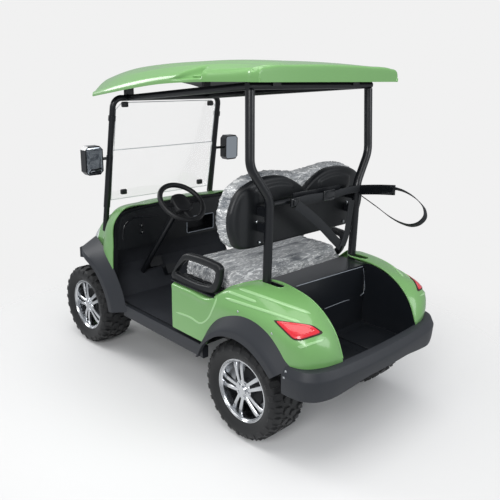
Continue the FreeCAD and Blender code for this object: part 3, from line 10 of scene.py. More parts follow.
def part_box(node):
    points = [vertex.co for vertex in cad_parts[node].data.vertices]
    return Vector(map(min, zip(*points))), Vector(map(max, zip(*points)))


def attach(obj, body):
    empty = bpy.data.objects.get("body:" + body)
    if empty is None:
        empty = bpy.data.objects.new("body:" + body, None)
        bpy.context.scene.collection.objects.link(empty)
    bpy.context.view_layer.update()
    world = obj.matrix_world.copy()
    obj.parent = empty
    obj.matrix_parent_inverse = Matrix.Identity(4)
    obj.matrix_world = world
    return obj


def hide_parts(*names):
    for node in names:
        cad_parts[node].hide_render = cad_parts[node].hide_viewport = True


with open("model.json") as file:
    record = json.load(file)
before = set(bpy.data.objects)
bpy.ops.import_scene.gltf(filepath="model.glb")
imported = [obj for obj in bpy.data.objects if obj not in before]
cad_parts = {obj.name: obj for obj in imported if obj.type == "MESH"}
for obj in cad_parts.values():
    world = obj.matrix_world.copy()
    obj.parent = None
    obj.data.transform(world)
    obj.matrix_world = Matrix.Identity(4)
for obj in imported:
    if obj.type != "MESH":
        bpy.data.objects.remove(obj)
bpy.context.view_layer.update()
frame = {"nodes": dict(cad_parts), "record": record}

# The cart is measured in millimetres from the middle of its rear axle, on the floor.
REAR_AXLE = -0.765
WHEELBASE = 1690
WHEEL_Y = 490
TYRE_RADIUS = 292
DECK = 440
BELT = 460
HALF_WIDTH = 600

# The photograph's viewpoint: behind the cart, on its left, a little above the seat.
CAMERA_PLACE = Vector((-2.931, 2.677, 2.045))
CAMERA_YAW, CAMERA_PITCH, CAMERA_ROLL = -44.51, -17.06, 1.41
LENS = 43.4
SENSOR = 36
PHOTO_SIDE = 500

# The wall of the mouldings, and the least length a step is divided by.
WALL = 5
LEAST = 1e-9


def at(x, y, z):
    """A place given in millimetres from the rear axle."""
    return Vector((REAR_AXLE + x / 1000, y / 1000, z / 1000))


def on_body(share_x, share_y, share_z):
    """A place as shares of the wheelbase, of the half width and of the belt's height."""
    return at(WHEELBASE * share_x, HALF_WIDTH * share_y, DECK + BELT * share_z)


# Finishes

def linear(hex_colour):
    """An sRGB hex colour as linear red, green, blue and alpha."""
    values = [int(hex_colour[i:i + 2], 16) / 255 for i in (1, 3, 5)]
    return tuple(v / 12.92 if v <= 0.04045 else ((v + 0.055) / 1.055) ** 2.4
                 for v in values) + (1.0,)


def node(tree, kind, inputs=None, **settings):
    """Adds a node. An input is a value, or a pair of a node and one of its outputs."""
    item = tree.nodes.new("ShaderNode" + kind)
    for name, value in settings.items():
        setattr(item, name, value)
    for name, value in (inputs or {}).items():
        if isinstance(value, tuple) and isinstance(value[0], bpy.types.Node):
            tree.links.new(value[0].outputs[value[1]], item.inputs[name])
        else:
            item.inputs[name].default_value = value
    return item


def new_material(name):
    """An empty material with its shader and the coordinates of the object."""
    material = bpy.data.materials.new(name)
    material.use_nodes = True
    tree = material.node_tree
    shader = tree.nodes["Principled BSDF"]
    place = node(tree, "TexCoord")
    return material, tree, shader, place


def grains(millimetres):
    """How often a pattern of this size repeats in a metre."""
    return 1000 / millimetres


def moulded(name, colour, shade, gloss, grain, relief, coat=0.0, sheen=0.0, clouds=300,
            metallic=0.0, gloss_range=0.12):
    """A material with fine grain in its relief and slow drifts in its colour and gloss."""
    material, tree, shader, place = new_material(name)
    drift = node(tree, "TexNoise", {"Vector": (place, "Object"), "Scale": grains(clouds),
                                    "Detail": 4.0})
    tint = node(tree, "Mix", {"Factor": (drift, "Fac"), 6: linear(shade), 7: linear(colour)},
                data_type="RGBA")
    grit = node(tree, "TexNoise", {"Vector": (place, "Object"), "Scale": grains(grain),
                                   "Detail": 6.0, "Roughness": 0.65})
    spread = node(tree, "MapRange", {"Value": (grit, "Fac"), "To Min": gloss - gloss_range / 2,
                                     "To Max": gloss + gloss_range / 2})
    bump = node(tree, "Bump", {"Height": (grit, "Fac"), "Strength": 1.0,
                               "Distance": relief / 1000})
    tree.links.new(tint.outputs[2], shader.inputs["Base Color"])
    tree.links.new(spread.outputs["Result"], shader.inputs["Roughness"])
    tree.links.new(bump.outputs["Normal"], shader.inputs["Normal"])
    shader.inputs["Metallic"].default_value = metallic
    shader.inputs["Coat Weight"].default_value = coat
    shader.inputs["Coat Roughness"].default_value = 0.06
    shader.inputs["Sheen Weight"].default_value = sheen
    return material


def make_materials():
    """The finishes of the cart, by the record's slot or by the piece."""
    return {
        # Polypropylene, injection-moulded, painted and clear-coated: smooth under a hard gloss
        "body_colour": moulded("Clearcoated_painted_PP", "#7CB06A", "#72A661", 0.34, 90, 0.02,
                               coat=0.55, clouds=900, gloss_range=0.03),
        # ABS, moulded against a fine spark-eroded grain: soft, almost black
        "black_moulding": moulded("Grained_black_ABS", "#121519", "#0D1013", 0.44, 1.6, 0.05),
        # TPO, moulded against a leather grain: dark grey, dull
        "dark_moulding": moulded("Grained_grey_TPO", "#2D3036", "#26292E", 0.52, 1.8, 0.07),
        # Steel tube, bent, welded and powder-coated: slight orange peel under a satin gloss
        "strut_paint": moulded("Powder_coated_steel", "#16181C", "#121418", 0.34, 2.4, 0.03),
        # Welded steel box section, dipped in chassis paint: near black, dull, a little uneven
        "frame_paint": moulded("Chassis_paint_on_steel", "#141518", "#1B1C1E", 0.55, 3, 0.05),
        # Iron castings and spring steel, sprayed: dark grey with the casting's grain
        "axle_steel": moulded("Painted_castings", "#26282B", "#1D1E20", 0.6, 4, 0.12),
        # Aluminium, cast in sand and left bare: grey metal with a coarse skin
        "motor_cast": moulded("Sand_cast_aluminium", "#7A7D80", "#6A6D70", 0.5, 2.5, 0.15,
                              metallic=0.9),
        # Polypropylene, injection-moulded in a plain steel mould: black, half dull
        "battery_case": moulded("Moulded_battery_case", "#1E1F22", "#232528", 0.5, 2, 0.05),
        # Rubber, vulcanised in the mould: deep grey, dull, with a faint bloom
        "tyre": moulded("Vulcanised_tyre_rubber", "#191A1C", "#131416", 0.62, 3.5, 0.12,
                        sheen=0.05, clouds=120),
        # Cast aluminium with a machined and lacquered face: bright, the gloss a little uneven
        "rim": moulded("Machined_cast_aluminium", "#D6D8DB", "#C4C7CB", 0.2, 1.2, 0.02,
                       metallic=1.0, coat=0.2, gloss_range=0.08),
        # Rubber sheet, pressed with ribs: dull, coarse, lighter where it is trodden
        "floor_mat": moulded("Ribbed_floor_rubber", "#2A2D33", "#20232A", 0.7, 6, 0.5,
                             clouds=60),
        # Polycarbonate, injection-moulded clear: pale, hard, with a thin lacquer
        "lamp_clear": moulded("Clear_polycarbonate_lens", "#E6EAEC", "#C9CFD3", 0.12, 8, 0.05,
                              coat=0.5),
        # Polycarbonate, dyed through and injection-moulded: saturated red, hard gloss
        "lamp_red": moulded("Red_polycarbonate_lens", "#E62F3C", "#D62633", 0.2, 7, 0.1,
                            coat=0.6, clouds=40),
        # ABS from a mirror-polished mould: the dash's bay and the strap's buckle
        "gloss_black": moulded("Gloss_black_ABS", "#0E1013", "#15181C", 0.18, 40, 0.02,
                               coat=0.4),
        # ABS from a polished mould: the tub and seat box, near black with a broad soft sheen
        "satin_moulding": moulded("Satin_black_ABS", "#181B20", "#121519", 0.3, 2.2, 0.03,
                                  coat=0.15),
        # The body's paint made lighter on the pressed ribs and the chamfer under each lamp: a
        # painted highlight where they catch the light
        "rib_painted_highlight": moulded("Pressed_rib_painted_highlight", "#A6D298", "#9ACA8B", 0.3, 90, 0.02,
                              coat=0.55, clouds=900, gloss_range=0.03),
        # Rubber gasket, extruded, between lamp and body: dark with a red cast from the lens
        "lamp_gasket": moulded("Lamp_gasket_rubber", "#3A1418", "#2A1013", 0.5, 2, 0.04),
        # Steel screw heads, cold-formed and zinc-plated: bright, a little uneven
        "plated_steel": moulded("Zinc_plated_steel", "#C9CCCF", "#A9ADB1", 0.28, 3, 0.05,
                                metallic=1.0),
        # Pale grey ABS edge lines: along the bag well's fold and seam a painted highlight, round
        # the dash's open bin a pale edge
        "pale_edge_and_painted_highlight": moulded("Pale_ABS_edge_and_painted_highlight", "#9DA3AB", "#878E97", 0.3, 4, 0.04),
        # Acrylic edge, polished by flame: painted near white, a painted highlight for the light
        # it gathers
        "screen_edge_painted_highlight": moulded("Acrylic_edge_painted_highlight", "#EEF1F2", "#DDE3E5", 0.15, 12, 0.02,
                                 coat=0.4),
        # Soft rubber moulded over the wheel's core: fine grain, half dull
        "wheel_grip": moulded("Soft_grip_rubber", "#17181B", "#101114", 0.5, 1.5, 0.06),
        # Polyester yarn, woven as a band: dull, with the weave's coarse relief
        "strap_web": moulded("Woven_polyester_webbing", "#1F2226", "#17191D", 0.7, 1.6, 0.3),
    }


def clear_sheet():
    """Extruded acrylic sheet, 5 mm: nearly invisible but for its edges and reflections."""
    material, tree, shader, place = new_material("Extruded_acrylic_sheet")
    haze = node(tree, "TexNoise", {"Vector": (place, "Object"), "Scale": grains(220)})
    spread = node(tree, "MapRange", {"Value": (haze, "Fac"), "To Min": 0.01, "To Max": 0.05})
    tree.links.new(spread.outputs["Result"], shader.inputs["Roughness"])
    shader.inputs["Base Color"].default_value = linear("#F4F6F6")
    shader.inputs["IOR"].default_value = 1.49
    shader.inputs["Transmission Weight"].default_value = 1.0
    shader.inputs["Alpha"].default_value = 0.12
    return material


def silvered_glass():
    """Float glass silvered behind: a clean mirror with the least waviness."""
    material, tree, shader, place = new_material("Silvered_float_glass")
    wave = node(tree, "TexNoise", {"Vector": (place, "Object"), "Scale": grains(80)})
    spread = node(tree, "MapRange", {"Value": (wave, "Fac"), "To Min": 0.02, "To Max": 0.07})
    bump = node(tree, "Bump", {"Height": (wave, "Fac"), "Distance": 0.0003})
    tree.links.new(spread.outputs["Result"], shader.inputs["Roughness"])
    tree.links.new(bump.outputs["Normal"], shader.inputs["Normal"])
    shader.inputs["Base Color"].default_value = linear("#C3CAD1")
    shader.inputs["Metallic"].default_value = 1.0
    return material


def filmed_vinyl(name, stretch):
    """Calendered vinyl sewn over foam, in clear blown packing film: grey, with the film's
    reflections painted in white, as a painted sheen in drifting patches and painted glints along
    its creases. The creases are
    5 to 20 mm apart, and longer along an axis where the stretch is small."""
    material, tree, shader, place = new_material(name)
    long_way = node(tree, "Mapping", {"Vector": (place, "Object"), "Scale": stretch})
    swirl = node(tree, "TexNoise", {"Vector": (long_way, 0), "Scale": grains(55),
                                    "Detail": 4.0, "Distortion": 0.7})
    creases = node(tree, "TexNoise", {"Vector": (long_way, 0), "Scale": grains(18),
                                      "Detail": 3.5, "Roughness": 0.5, "Distortion": 0.8})
    ridge = node(tree, "Math", {0: (creases, "Fac"), 1: 0.5}, operation="SUBTRACT")
    fold = node(tree, "Math", {0: (ridge, 0)}, operation="ABSOLUTE")
    glint = node(tree, "MapRange", {"Value": (fold, 0), "From Min": 0.0, "From Max": 0.055,
                                    "To Min": 1.0, "To Max": 0.0})
    cloud = node(tree, "MapRange", {"Value": (swirl, "Fac"), "From Min": 0.34,
                                    "From Max": 0.54})
    # The white mixed in below is painted light: painted glints along the creases, and a painted
    # sheen in the drifting patches.
    painted_glint = node(tree, "Math", {0: (glint, 0), 1: (cloud, 0)}, operation="MULTIPLY")
    painted_reflection = node(tree, "Math", {0: (cloud, 0), 1: 0.36, 2: (painted_glint, 0)},
                operation="MULTIPLY_ADD", use_clamp=True)
    # Grey vinyl under film, taken towards near white by the painted reflection.
    tint = node(tree, "Mix", {"Factor": (painted_reflection, 0), 6: linear("#6B7076"),
                              7: linear("#FAFBFB")}, data_type="RGBA")
    bump = node(tree, "Bump", {"Height": (glint, 0), "Strength": 0.8, "Distance": 0.0022})
    tree.links.new(tint.outputs[2], shader.inputs["Base Color"])
    tree.links.new(bump.outputs["Normal"], shader.inputs["Normal"])
    shader.inputs["Roughness"].default_value = 0.3
    shader.inputs["Coat Weight"].default_value = 0.9
    shader.inputs["Coat Roughness"].default_value = 0.1
    return material


# Stage, camera and light

FLOOR_HALF = 14
FADE_START, FADE_END = 0.9, 2.8

# Each lamp: its place, what it aims at, its size in metres, its watts and its tint.
LAMPS = {
    "Overhead": ((-0.4, 0.6, 4.6), (0, 0, 0.8), 4.5, 118, (1.0, 0.99, 0.97)),
    "Left_key": ((-3.2, 4.6, 3.4), (0, 0, 0.8), 2.4, 130, (1.0, 1.0, 1.0)),
    "Rear_fill": ((-5.0, -1.6, 2.4), (0, 0, 0.7), 2.6, 60, (0.96, 0.98, 1.0)),
    "Front_rim": ((4.0, 2.0, 3.2), (0.6, 0, 0.9), 2.0, 70, (1.0, 1.0, 1.0)),
}


def make_backdrop():
    """A pale backdrop for the eye, and a cool sky for the light that falls on the cart."""
    scene = bpy.context.scene
    scene.view_settings.view_transform = "Standard"
    world = bpy.data.worlds.new("Studio")
    scene.world = world
    world.use_nodes = True
    tree = world.node_tree
    tree.nodes.clear()
    path = node(tree, "LightPath")
    seen = node(tree, "Math", {0: (path, "Is Camera Ray"), 1: (path, "Is Transmission Ray")},
                operation="MAXIMUM")
    ambient = node(tree, "Background", {"Color": (0.93, 0.96, 1.0, 1.0), "Strength": 0.42})
    backdrop = node(tree, "Background", {"Color": linear("#F1F1F1"), "Strength": 1.0})
    mixed = node(tree, "MixShader", {0: (seen, 0), 1: (ambient, 0), 2: (backdrop, 0)})
    node(tree, "OutputWorld", {"Surface": (mixed, 0)})


def make_floor():
    """A matte painted floor that fades into the backdrop round the cart."""
    floor = bpy.data.meshes.new("Floor")
    corners = [(x * FLOOR_HALF, y * FLOOR_HALF, 0)
               for x, y in ((-1, -1), (1, -1), (1, 1), (-1, 1))]
    floor.from_pydata(corners, [], [(0, 1, 2, 3)])
    item = bpy.data.objects.new("Floor", floor)
    bpy.context.scene.collection.objects.link(item)
    material, tree, shader, place = new_material("Matte_floor_paint")
    length = node(tree, "VectorMath", {0: (place, "Object")}, operation="LENGTH")
    fade = node(tree, "MapRange", {"Value": (length, "Value"), "From Min": FADE_START,
                                   "From Max": FADE_END}, interpolation_type="SMOOTHSTEP")
    shader.inputs["Base Color"].default_value = linear("#EFEFEF")
    shader.inputs["Roughness"].default_value = 0.9
    shader.inputs["Specular IOR Level"].default_value = 0.0
    clear = node(tree, "BsdfTransparent")
    mixed = node(tree, "MixShader", {0: (fade, "Result"), 1: (shader, 0), 2: (clear, 0)})
    tree.links.new(mixed.outputs[0], tree.nodes["Material Output"].inputs["Surface"])
    floor.materials.append(material)


def make_lamps():
    """Soft round lamps over the cart, at its left, behind it and before it."""
    for name, (place, aim, size, power, tint) in LAMPS.items():
        data = bpy.data.lights.new(name, "AREA")
        data.shape = "DISK"
        data.size = size
        data.energy = power
        data.color = tint
        lamp = bpy.data.objects.new(name, data)
        lamp.location = place
        lamp.rotation_euler = (Vector(aim) - Vector(place)).to_track_quat("-Z", "Y").to_euler()
        bpy.context.scene.collection.objects.link(lamp)


def camera_axes():
    """The camera's right, up and ahead."""
    yaw = math.radians(CAMERA_YAW)
    pitch = math.radians(CAMERA_PITCH)
    roll = math.radians(CAMERA_ROLL)
    ahead = Vector((math.cos(yaw) * math.cos(pitch), math.sin(yaw) * math.cos(pitch),
                    math.sin(pitch)))
    right = ahead.cross(Vector((0, 0, 1))).normalized()
    up = right.cross(ahead)
    return (right * math.cos(roll) + up * math.sin(roll),
            up * math.cos(roll) - right * math.sin(roll), ahead)


def make_camera():
    """The camera at the photograph's viewpoint."""
    data = bpy.data.cameras.new("Camera")
    data.lens = LENS
    data.sensor_width = SENSOR
    item = bpy.data.objects.new("Camera", data)
    right, up, ahead = camera_axes()
    turn = Matrix((right, up, -ahead)).transposed().to_4x4()
    item.matrix_world = Matrix.Translation(CAMERA_PLACE) @ turn
    bpy.context.scene.collection.objects.link(item)
    bpy.context.scene.camera = item


def surface_of(*items):
    """The surface of some pieces, to find places on it."""
    points = []
    faces = []
    for item in items:
        start = len(points)
        mesh = getattr(item, "data", item)
        points += [vertex.co for vertex in mesh.vertices]
        faces += [tuple(start + index for index in polygon.vertices)
                  for polygon in mesh.polygons]
    return BVHTree.FromPolygons(points, faces)


def sight(px, py):
    """The way from the camera through a pixel of the photograph."""
    right, up, ahead = camera_axes()
    step = SENSOR / LENS / PHOTO_SIDE
    middle = PHOTO_SIDE / 2
    return (ahead + right * ((px - middle) * step) + up * ((middle - py) * step)).normalized()


def on_plane(px, py, axis, value):
    """Where a pixel's line of sight meets a plane, such as x = 20 mm from the axle."""
    way = sight(px, py)
    index = "xyz".index(axis)
    reach = at(value, value, value)[index] - CAMERA_PLACE[index]
    return CAMERA_PLACE + way * (reach / way[index])


def seen_on(surface, px, py):
    """The place on a surface that a pixel of the photograph shows, and its outward way."""
    way = sight(px, py)
    place, out = surface.ray_cast(CAMERA_PLACE, way)[:2]
    if place is None:
        raise ValueError(f"Nothing shows at {px}, {py}")
    return place, (-out if out.dot(way) > 0 else out)


# Shaping

def body_of_node(name):
    """The body that a node of the part rides on."""
    for body, names in frame["record"]["behaviour"]["bodies"].items():
        if name in names:
            return body
    raise ValueError(name)


def piece(name, mesh, material, node_name, replaces=(), sharp=35):
    """A finished piece of the cart: its finish, the node whose body it rides on, and the
    nodes it stands for. Edges over the sharp angle stay crisp."""
    item = bpy.data.objects.new(name, mesh)
    bpy.context.scene.collection.objects.link(item)
    mesh.materials.clear()
    mesh.materials.append(material)
    for polygon in mesh.polygons:
        polygon.use_smooth = True
    mesh.set_sharp_from_angle(angle=math.radians(sharp))
    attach(item, body_of_node(node_name))
    if replaces:
        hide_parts(*replaces)
    return item


def mesh_of(name, points, faces):
    """A mesh whose faces all look outward."""
    mesh = bpy.data.meshes.new(name)
    mesh.from_pydata([tuple(point) for point in points], [], faces)
    mesh.validate()
    form = bmesh.new()
    form.from_mesh(mesh)
    bmesh.ops.remove_doubles(form, verts=form.verts, dist=1e-6)
    bmesh.ops.recalc_face_normals(form, faces=form.faces)
    form.to_mesh(mesh)
    form.free()
    return mesh


def smooth_line(points, steps, breaks=()):
    """Points on a smooth line through the given ones, which turns sharply at the breaks."""
    ways = []
    last = len(points) - 1
    for i, point in enumerate(points):
        if i in (0, last) or i in breaks:
            ways.append(None)
            continue
        before = point - points[i - 1]
        after = points[i + 1] - point
        near = before.length or LEAST
        far = after.length or LEAST
        ways.append((before / near * far + after / far * near) / (near + far))
    line = []
    for i in range(last):
        step = points[i + 1] - points[i]
        span = step.length or LEAST
        start = ways[i]
        end = ways[i + 1]
        if start is None and end is None:
            start = end = step / span
        elif start is None:
            start = (step / span * 3 - end) / 2
        elif end is None:
            end = (step / span * 3 - start) / 2
        for k in range(steps):
            t = k / steps
            line.append(points[i] * (2 * t ** 3 - 3 * t ** 2 + 1)
                        + start * span * (t ** 3 - 2 * t ** 2 + t)
                        + points[i + 1] * (3 * t ** 2 - 2 * t ** 3)
                        + end * span * (t ** 3 - t ** 2))
    line.append(points[-1].copy())
    return line


def smooth_grid(rows, along, across, breaks=()):
    """A fine grid through rows of points; columns in breaks keep a sharp fold."""
    lines = [smooth_line(row, across, breaks) for row in rows]
    columns = [smooth_line(list(column), along) for column in zip(*lines)]
    return [list(row) for row in zip(*columns)]


def grid_normals(grid):
    """The outward direction at each point of a grid."""
    normals = []
    for i, row in enumerate(grid):
        line = []
        for j in range(len(row)):
            across = row[min(j + 1, len(row) - 1)] - row[max(j - 1, 0)]
            along = grid[min(i + 1, len(grid) - 1)][j] - grid[max(i - 1, 0)][j]
            line.append(across.cross(along).normalized())
        normals.append(line)
    return normals


def sheet_faces(rows, columns, start=0):
    """The faces of a grid of points, numbered from start."""
    corners = [start + i * columns + j for i in range(rows - 1) for j in range(columns - 1)]
    return [(a, a + 1, a + columns + 1, a + columns) for a in corners]


def walled(name, grid, wall):
    """A moulding: a fine grid as its outside, and its inside a wall's thickness in."""
    rows = len(grid)
    columns = len(grid[0])
    normals = grid_normals(grid)
    points = [point for row in grid for point in row]
    points += [point - normals[i][j] * (wall / 1000) for i, row in enumerate(grid)
               for j, point in enumerate(row)]
    count = rows * columns
    faces = []
    for i in range(rows - 1):
        for j in range(columns - 1):
            a = i * columns + j
            b, c, d = a + 1, a + columns + 1, a + columns
            faces.append((a, b, c, d))
            faces.append((a + count, d + count, c + count, b + count))
            for at_edge, start, end in ((i == 0, a, b), (i == rows - 2, c, d), (j == 0, d, a),
                                        (j == columns - 2, b, c)):
                if at_edge:
                    faces.append((end, start, start + count, end + count))
    return mesh_of(name, points, faces)


def swept(name, points, radius, sides=16, closed=False):
    """A round bar along a line of points, which meets its own start if closed."""
    line = [Vector(point) for point in points]
    count = len(line)
    made = []
    faces = []
    side_way = None
    for i, point in enumerate(line):
        after = line[(i + 1) % count] if closed or i < count - 1 else line[i]
        before = line[i - 1] if closed or i > 0 else line[i]
        way = (after - before).normalized()
        if side_way is None:
            side_way = way.orthogonal().normalized()
        side_way = (side_way - way * side_way.dot(way)).normalized()
        other = way.cross(side_way)
        for k in range(sides):
            turn = math.tau * k / sides
            made.append(point + (side_way * math.cos(turn) + other * math.sin(turn)) * radius)
    for i in range(count if closed else count - 1):
        near = i * sides
        far = ((i + 1) % count) * sides
        faces += [(near + k, near + (k + 1) % sides, far + (k + 1) % sides, far + k)
                  for k in range(sides)]
    if not closed:
        faces.append(tuple(range(sides)))
        faces.append(tuple((count - 1) * sides + k for k in range(sides)))
    return mesh_of(name, made, faces)


def joined(name, meshes):
    """Several meshes as one."""
    form = bmesh.new()
    for mesh in meshes:
        form.from_mesh(mesh)
    mesh = bpy.data.meshes.new(name)
    form.to_mesh(mesh)
    form.free()
    return mesh


def mirrored(mesh):
    """The mesh's mirror image across the cart."""
    image = mesh.copy()
    image.transform(Matrix.Diagonal((1, -1, 1, 1)))
    image.flip_normals()
    return image


def both_sides(mesh):
    """The mesh together with its mirror image across the cart."""
    return joined(mesh.name, [mesh, mirrored(mesh)])


def rings(name, loops, capped=(True, True), closed=True):
    """A skin over loops of as many points, with its ends capped."""
    count = len(loops[0])
    points = [point for loop in loops for point in loop]
    faces = []
    for i in range(len(loops) - 1):
        for k in range(count if closed else count - 1):
            j = (k + 1) % count
            faces.append((i * count + k, i * count + j, (i + 1) * count + j,
                          (i + 1) * count + k))
    if capped[0]:
        faces.append(tuple(range(count)))
    if capped[1]:
        faces.append(tuple((len(loops) - 1) * count + k for k in range(count)))
    return mesh_of(name, points, faces)


def dressed(mesh, kind, **settings):
    """The mesh after one modifier of that kind, such as a bevel, with its settings."""
    scene = bpy.context.scene
    item = bpy.data.objects.new("Dressed", mesh)
    scene.collection.objects.link(item)
    step = item.modifiers.new("Step", kind)
    for name, value in settings.items():
        setattr(step, name, value)
    bpy.context.view_layer.update()
    graph = bpy.context.evaluated_depsgraph_get()
    made = bpy.data.meshes.new_from_object(item.evaluated_get(graph))
    bpy.data.objects.remove(item)
    return made


def carved(mesh, *cutters):
    """The mesh with the cutters taken away."""
    for cutter in cutters:
        tool = bpy.data.objects.new("Cutter", cutter)
        bpy.context.scene.collection.objects.link(tool)
        mesh = dressed(mesh, "BOOLEAN", object=tool, solver="EXACT")
        bpy.data.objects.remove(tool)
    return mesh


def rounded_slab(low, high, edge, steps=3):
    """A block with rounded edges, between two places."""
    corners = ((low.x, low.y), (high.x, low.y), (high.x, high.y), (low.x, high.y))
    block = rings("Slab", [[Vector((x, y, z)) for x, y in corners] for z in (low.z, high.z)])
    return dressed(block, "BEVEL", width=edge / 1000, segments=steps, limit_method="ANGLE")


def round_the_axis(radius, across, turn):
    """A place at a radius and an angle round the Y axis, given in millimetres."""
    return Vector((radius * math.cos(turn), across, radius * math.sin(turn))) / 1000


def arch_cutter(x, y_low, y_high, radius):
    """A round cutter round a wheel's axis, between two distances from the cart's middle."""
    sides = 128
    middle = at(x, 0, TYRE_RADIUS)
    return rings("Arch", [[middle + round_the_axis(radius, y, math.tau * k / sides)
                           for k in range(sides)] for y in (y_low, y_high)])


def other_side(point):
    """The same place on the cart's other side."""
    return Vector((point.x, -point.y, point.z))


def ramp(value, low, high):
    """A smooth step from 0 to 1 between low and high."""
    t = min(max((value - low) / (high - low), 0), 1)
    return t * t * (3 - 2 * t)


# Green mouldings

# Each row across the roof, from its tail forward: a share of its length, a share of its
# half width, and how far it drops from the crown at each of ROOF_ACROSS_SHARES.
ROOF_SHARES = [
    (0.00, 0.965, 0.420, 0.170, 0.120, 0.085, 0.065),
    (0.12, 0.985, 0.444, 0.250, 0.125, 0.045, 0.022),
    (0.30, 1.000, 0.484, 0.340, 0.160, 0.032, 0.000),
    (0.50, 1.000, 0.575, 0.480, 0.260, 0.090, 0.050),
    (0.70, 0.990, 0.735, 0.665, 0.430, 0.190, 0.130),
    (0.86, 0.968, 0.880, 0.830, 0.630, 0.330, 0.250),
    (1.00, 0.930, 1.000, 0.965, 0.860, 0.560, 0.450),
]
ROOF_ACROSS_SHARES = [1.0, 1.0, 0.9, 0.55, 0.0]
ROOF_TAIL = -75
ROOF_LENGTH = 1860
ROOF_BOW = 275
ROOF_HALF = 602
ROOF_TOP = 2074
ROOF_CAMBER = 252
ROOF_WALL = 6
ROOF_TAIL_RADIUS = 16
ROOF_ALONG, ROOF_ACROSS = 30, 14


def roof_rows():
    """The listed lines of the roof, from its left edge over the crown to the right."""
    rows = []
    for share, half, *drops in ROOF_SHARES:
        left = []
        for across, drop in zip(ROOF_ACROSS_SHARES, drops):
            bow = ROOF_BOW * share * share * (1 - across * across)
            left.append(at(ROOF_TAIL + (ROOF_LENGTH - ROOF_BOW) * share + bow,
                           ROOF_HALF * half * across, ROOF_TOP - ROOF_CAMBER * drop))
        rows.append(left + [other_side(point) for point in reversed(left[:-1])])
    return rows


def plateau(value, start, full, end, gone):
    """0, then a smooth rise to 1 from start to full, and a smooth fall from end to gone."""
    return ramp(value, start, full) * (1 - ramp(value, end, gone))


def roof_relief(x, across):
    """How far the roof stands in at a place, in millimetres: the scoop ahead of its fin,
    the ledge behind it, the valley between rim and dome, and the notch at the rear corner.
    x is measured from the axle, and across in the listed lines from the lower edge."""
    upper = 2.0 - 1.1 * ramp(x, 360, 620)
    scoop = 34 * plateau(x, 338, 352, 380, 620) * plateau(across, 0.35, 0.75, upper - 0.35,
                                                          upper)
    ledge = 5 * plateau(x, -20, 10, 300, 330) * (1 - ramp(across, 1.25, 1.33))
    valley = 11 * plateau(across, 2.1, 2.4, 2.7, 3.1) * plateau(x, -60, 40, 900, 1300)
    corner = 1 - ramp(abs(x + 38 + (across - 1.2) * 14), 4, 20)
    notch = 15 * corner * plateau(across, 0.7, 1.0, 2.0, 2.5)
    return -(scoop + ledge + valley + notch)


def roof_tail(edge):
    """The rows of the roof's turned-down rear, from its lower edge over a round bend."""
    tail = at(ROOF_TAIL, 0, 0).x
    low = edge[0].z
    radius = ROOF_TAIL_RADIUS / 1000
    steps = 5
    rows = []
    for k in range(steps + 1):
        rows.append([Vector((tail, point.y, low + (max(point.z - radius, low) - low) * k / steps))
                     for point in edge])
    for k in range(1, steps + 1):
        turn = math.pi / 2 * k / steps
        inward = tail + radius * (1 - math.cos(turn))
        rows.append([Vector((inward, point.y, max(point.z - radius, low)
                             + min(radius, point.z - low) * math.sin(turn)))
                     for point in edge])
    return rows


def make_roof(finishes):
    """The roof: one vacuum-formed sheet with a scooped side and a turned-down rear."""
    grid = smooth_grid(roof_rows(), ROOF_ALONG, ROOF_ACROSS)
    normals = grid_normals(grid)
    columns = len(grid[0])
    shaped = []
    for i, row in enumerate(grid):
        line = []
        for j, point in enumerate(row):
            side = min(j, columns - 1 - j) / ROOF_ACROSS
            x = (point.x - REAR_AXLE) * 1000
            line.append(point + normals[i][j] * (roof_relief(x, side) / 1000))
        shaped.append(line)
    bend_end = at(ROOF_TAIL + ROOF_TAIL_RADIUS + 4, 0, 0).x
    onward = [row for row in shaped if row[0].x > bend_end]
    mesh = walled("Roof", roof_tail(grid[0]) + onward, ROOF_WALL)
    return piece("Roof", mesh, finishes["body_colour"], "roof",
                 replaces=("roof",), sharp=48)


# Each row of the hood, from the dash forward: a share of its length, then places up its
# left side as shares of the half width and of its rise, and the height of its crown.
COWL_SHARES = [
    (0.00, (1.00, 0.00), (0.99, 0.60), (0.955, 0.86), (0.86, 0.955), (0.45, 0.99), 1.00),
    (0.18, (0.99, 0.00), (0.96, 0.58), (0.910, 0.80), (0.82, 0.910), (0.44, 0.97), 0.98),
    (0.36, (0.93, 0.00), (0.86, 0.54), (0.800, 0.70), (0.74, 0.800), (0.40, 0.89), 0.91),
    (0.55, (0.84, 0.02), (0.80, 0.48), (0.750, 0.62), (0.66, 0.730), (0.34, 0.80), 0.82),
    (0.75, (0.72, 0.04), (0.70, 0.40), (0.640, 0.51), (0.54, 0.600), (0.27, 0.66), 0.68),
    (0.90, (0.60, 0.06), (0.58, 0.31), (0.520, 0.40), (0.43, 0.470), (0.21, 0.52), 0.54),
    (1.00, (0.48, 0.08), (0.46, 0.22), (0.410, 0.29), (0.33, 0.340), (0.16, 0.37), 0.38),
]
COWL_START = 1285
COWL_LENGTH = 745
COWL_RISE = 668
COWL_ARCH = 500


def cowl_rows():
    """The listed lines of the hood, from its left lower edge over the crown."""
    rows = []
    for share, *sides, crown in COWL_SHARES:
        x = COWL_START + COWL_LENGTH * share
        left = [at(x, HALF_WIDTH * y, DECK + COWL_RISE * z) for y, z in sides]
        middle = at(x, 0, DECK + COWL_RISE * crown)
        rows.append(left + [middle] + [other_side(point) for point in reversed(left)])
    return rows


def make_cowl(finishes):
    """The hood and front fenders, with the arches cut out."""
    grid = smooth_grid(cowl_rows(), 14, 12)
    mesh = walled("Hood", grid, WALL)
    arches = [arch_cutter(WHEELBASE, *ends, COWL_ARCH)
              for ends in ((300, 1200), (-1200, -300))]
    return piece("Front_cowl", carved(mesh, *arches), finishes["body_colour"], "front_cowl",
                 replaces=("front_cowl",), sharp=40)


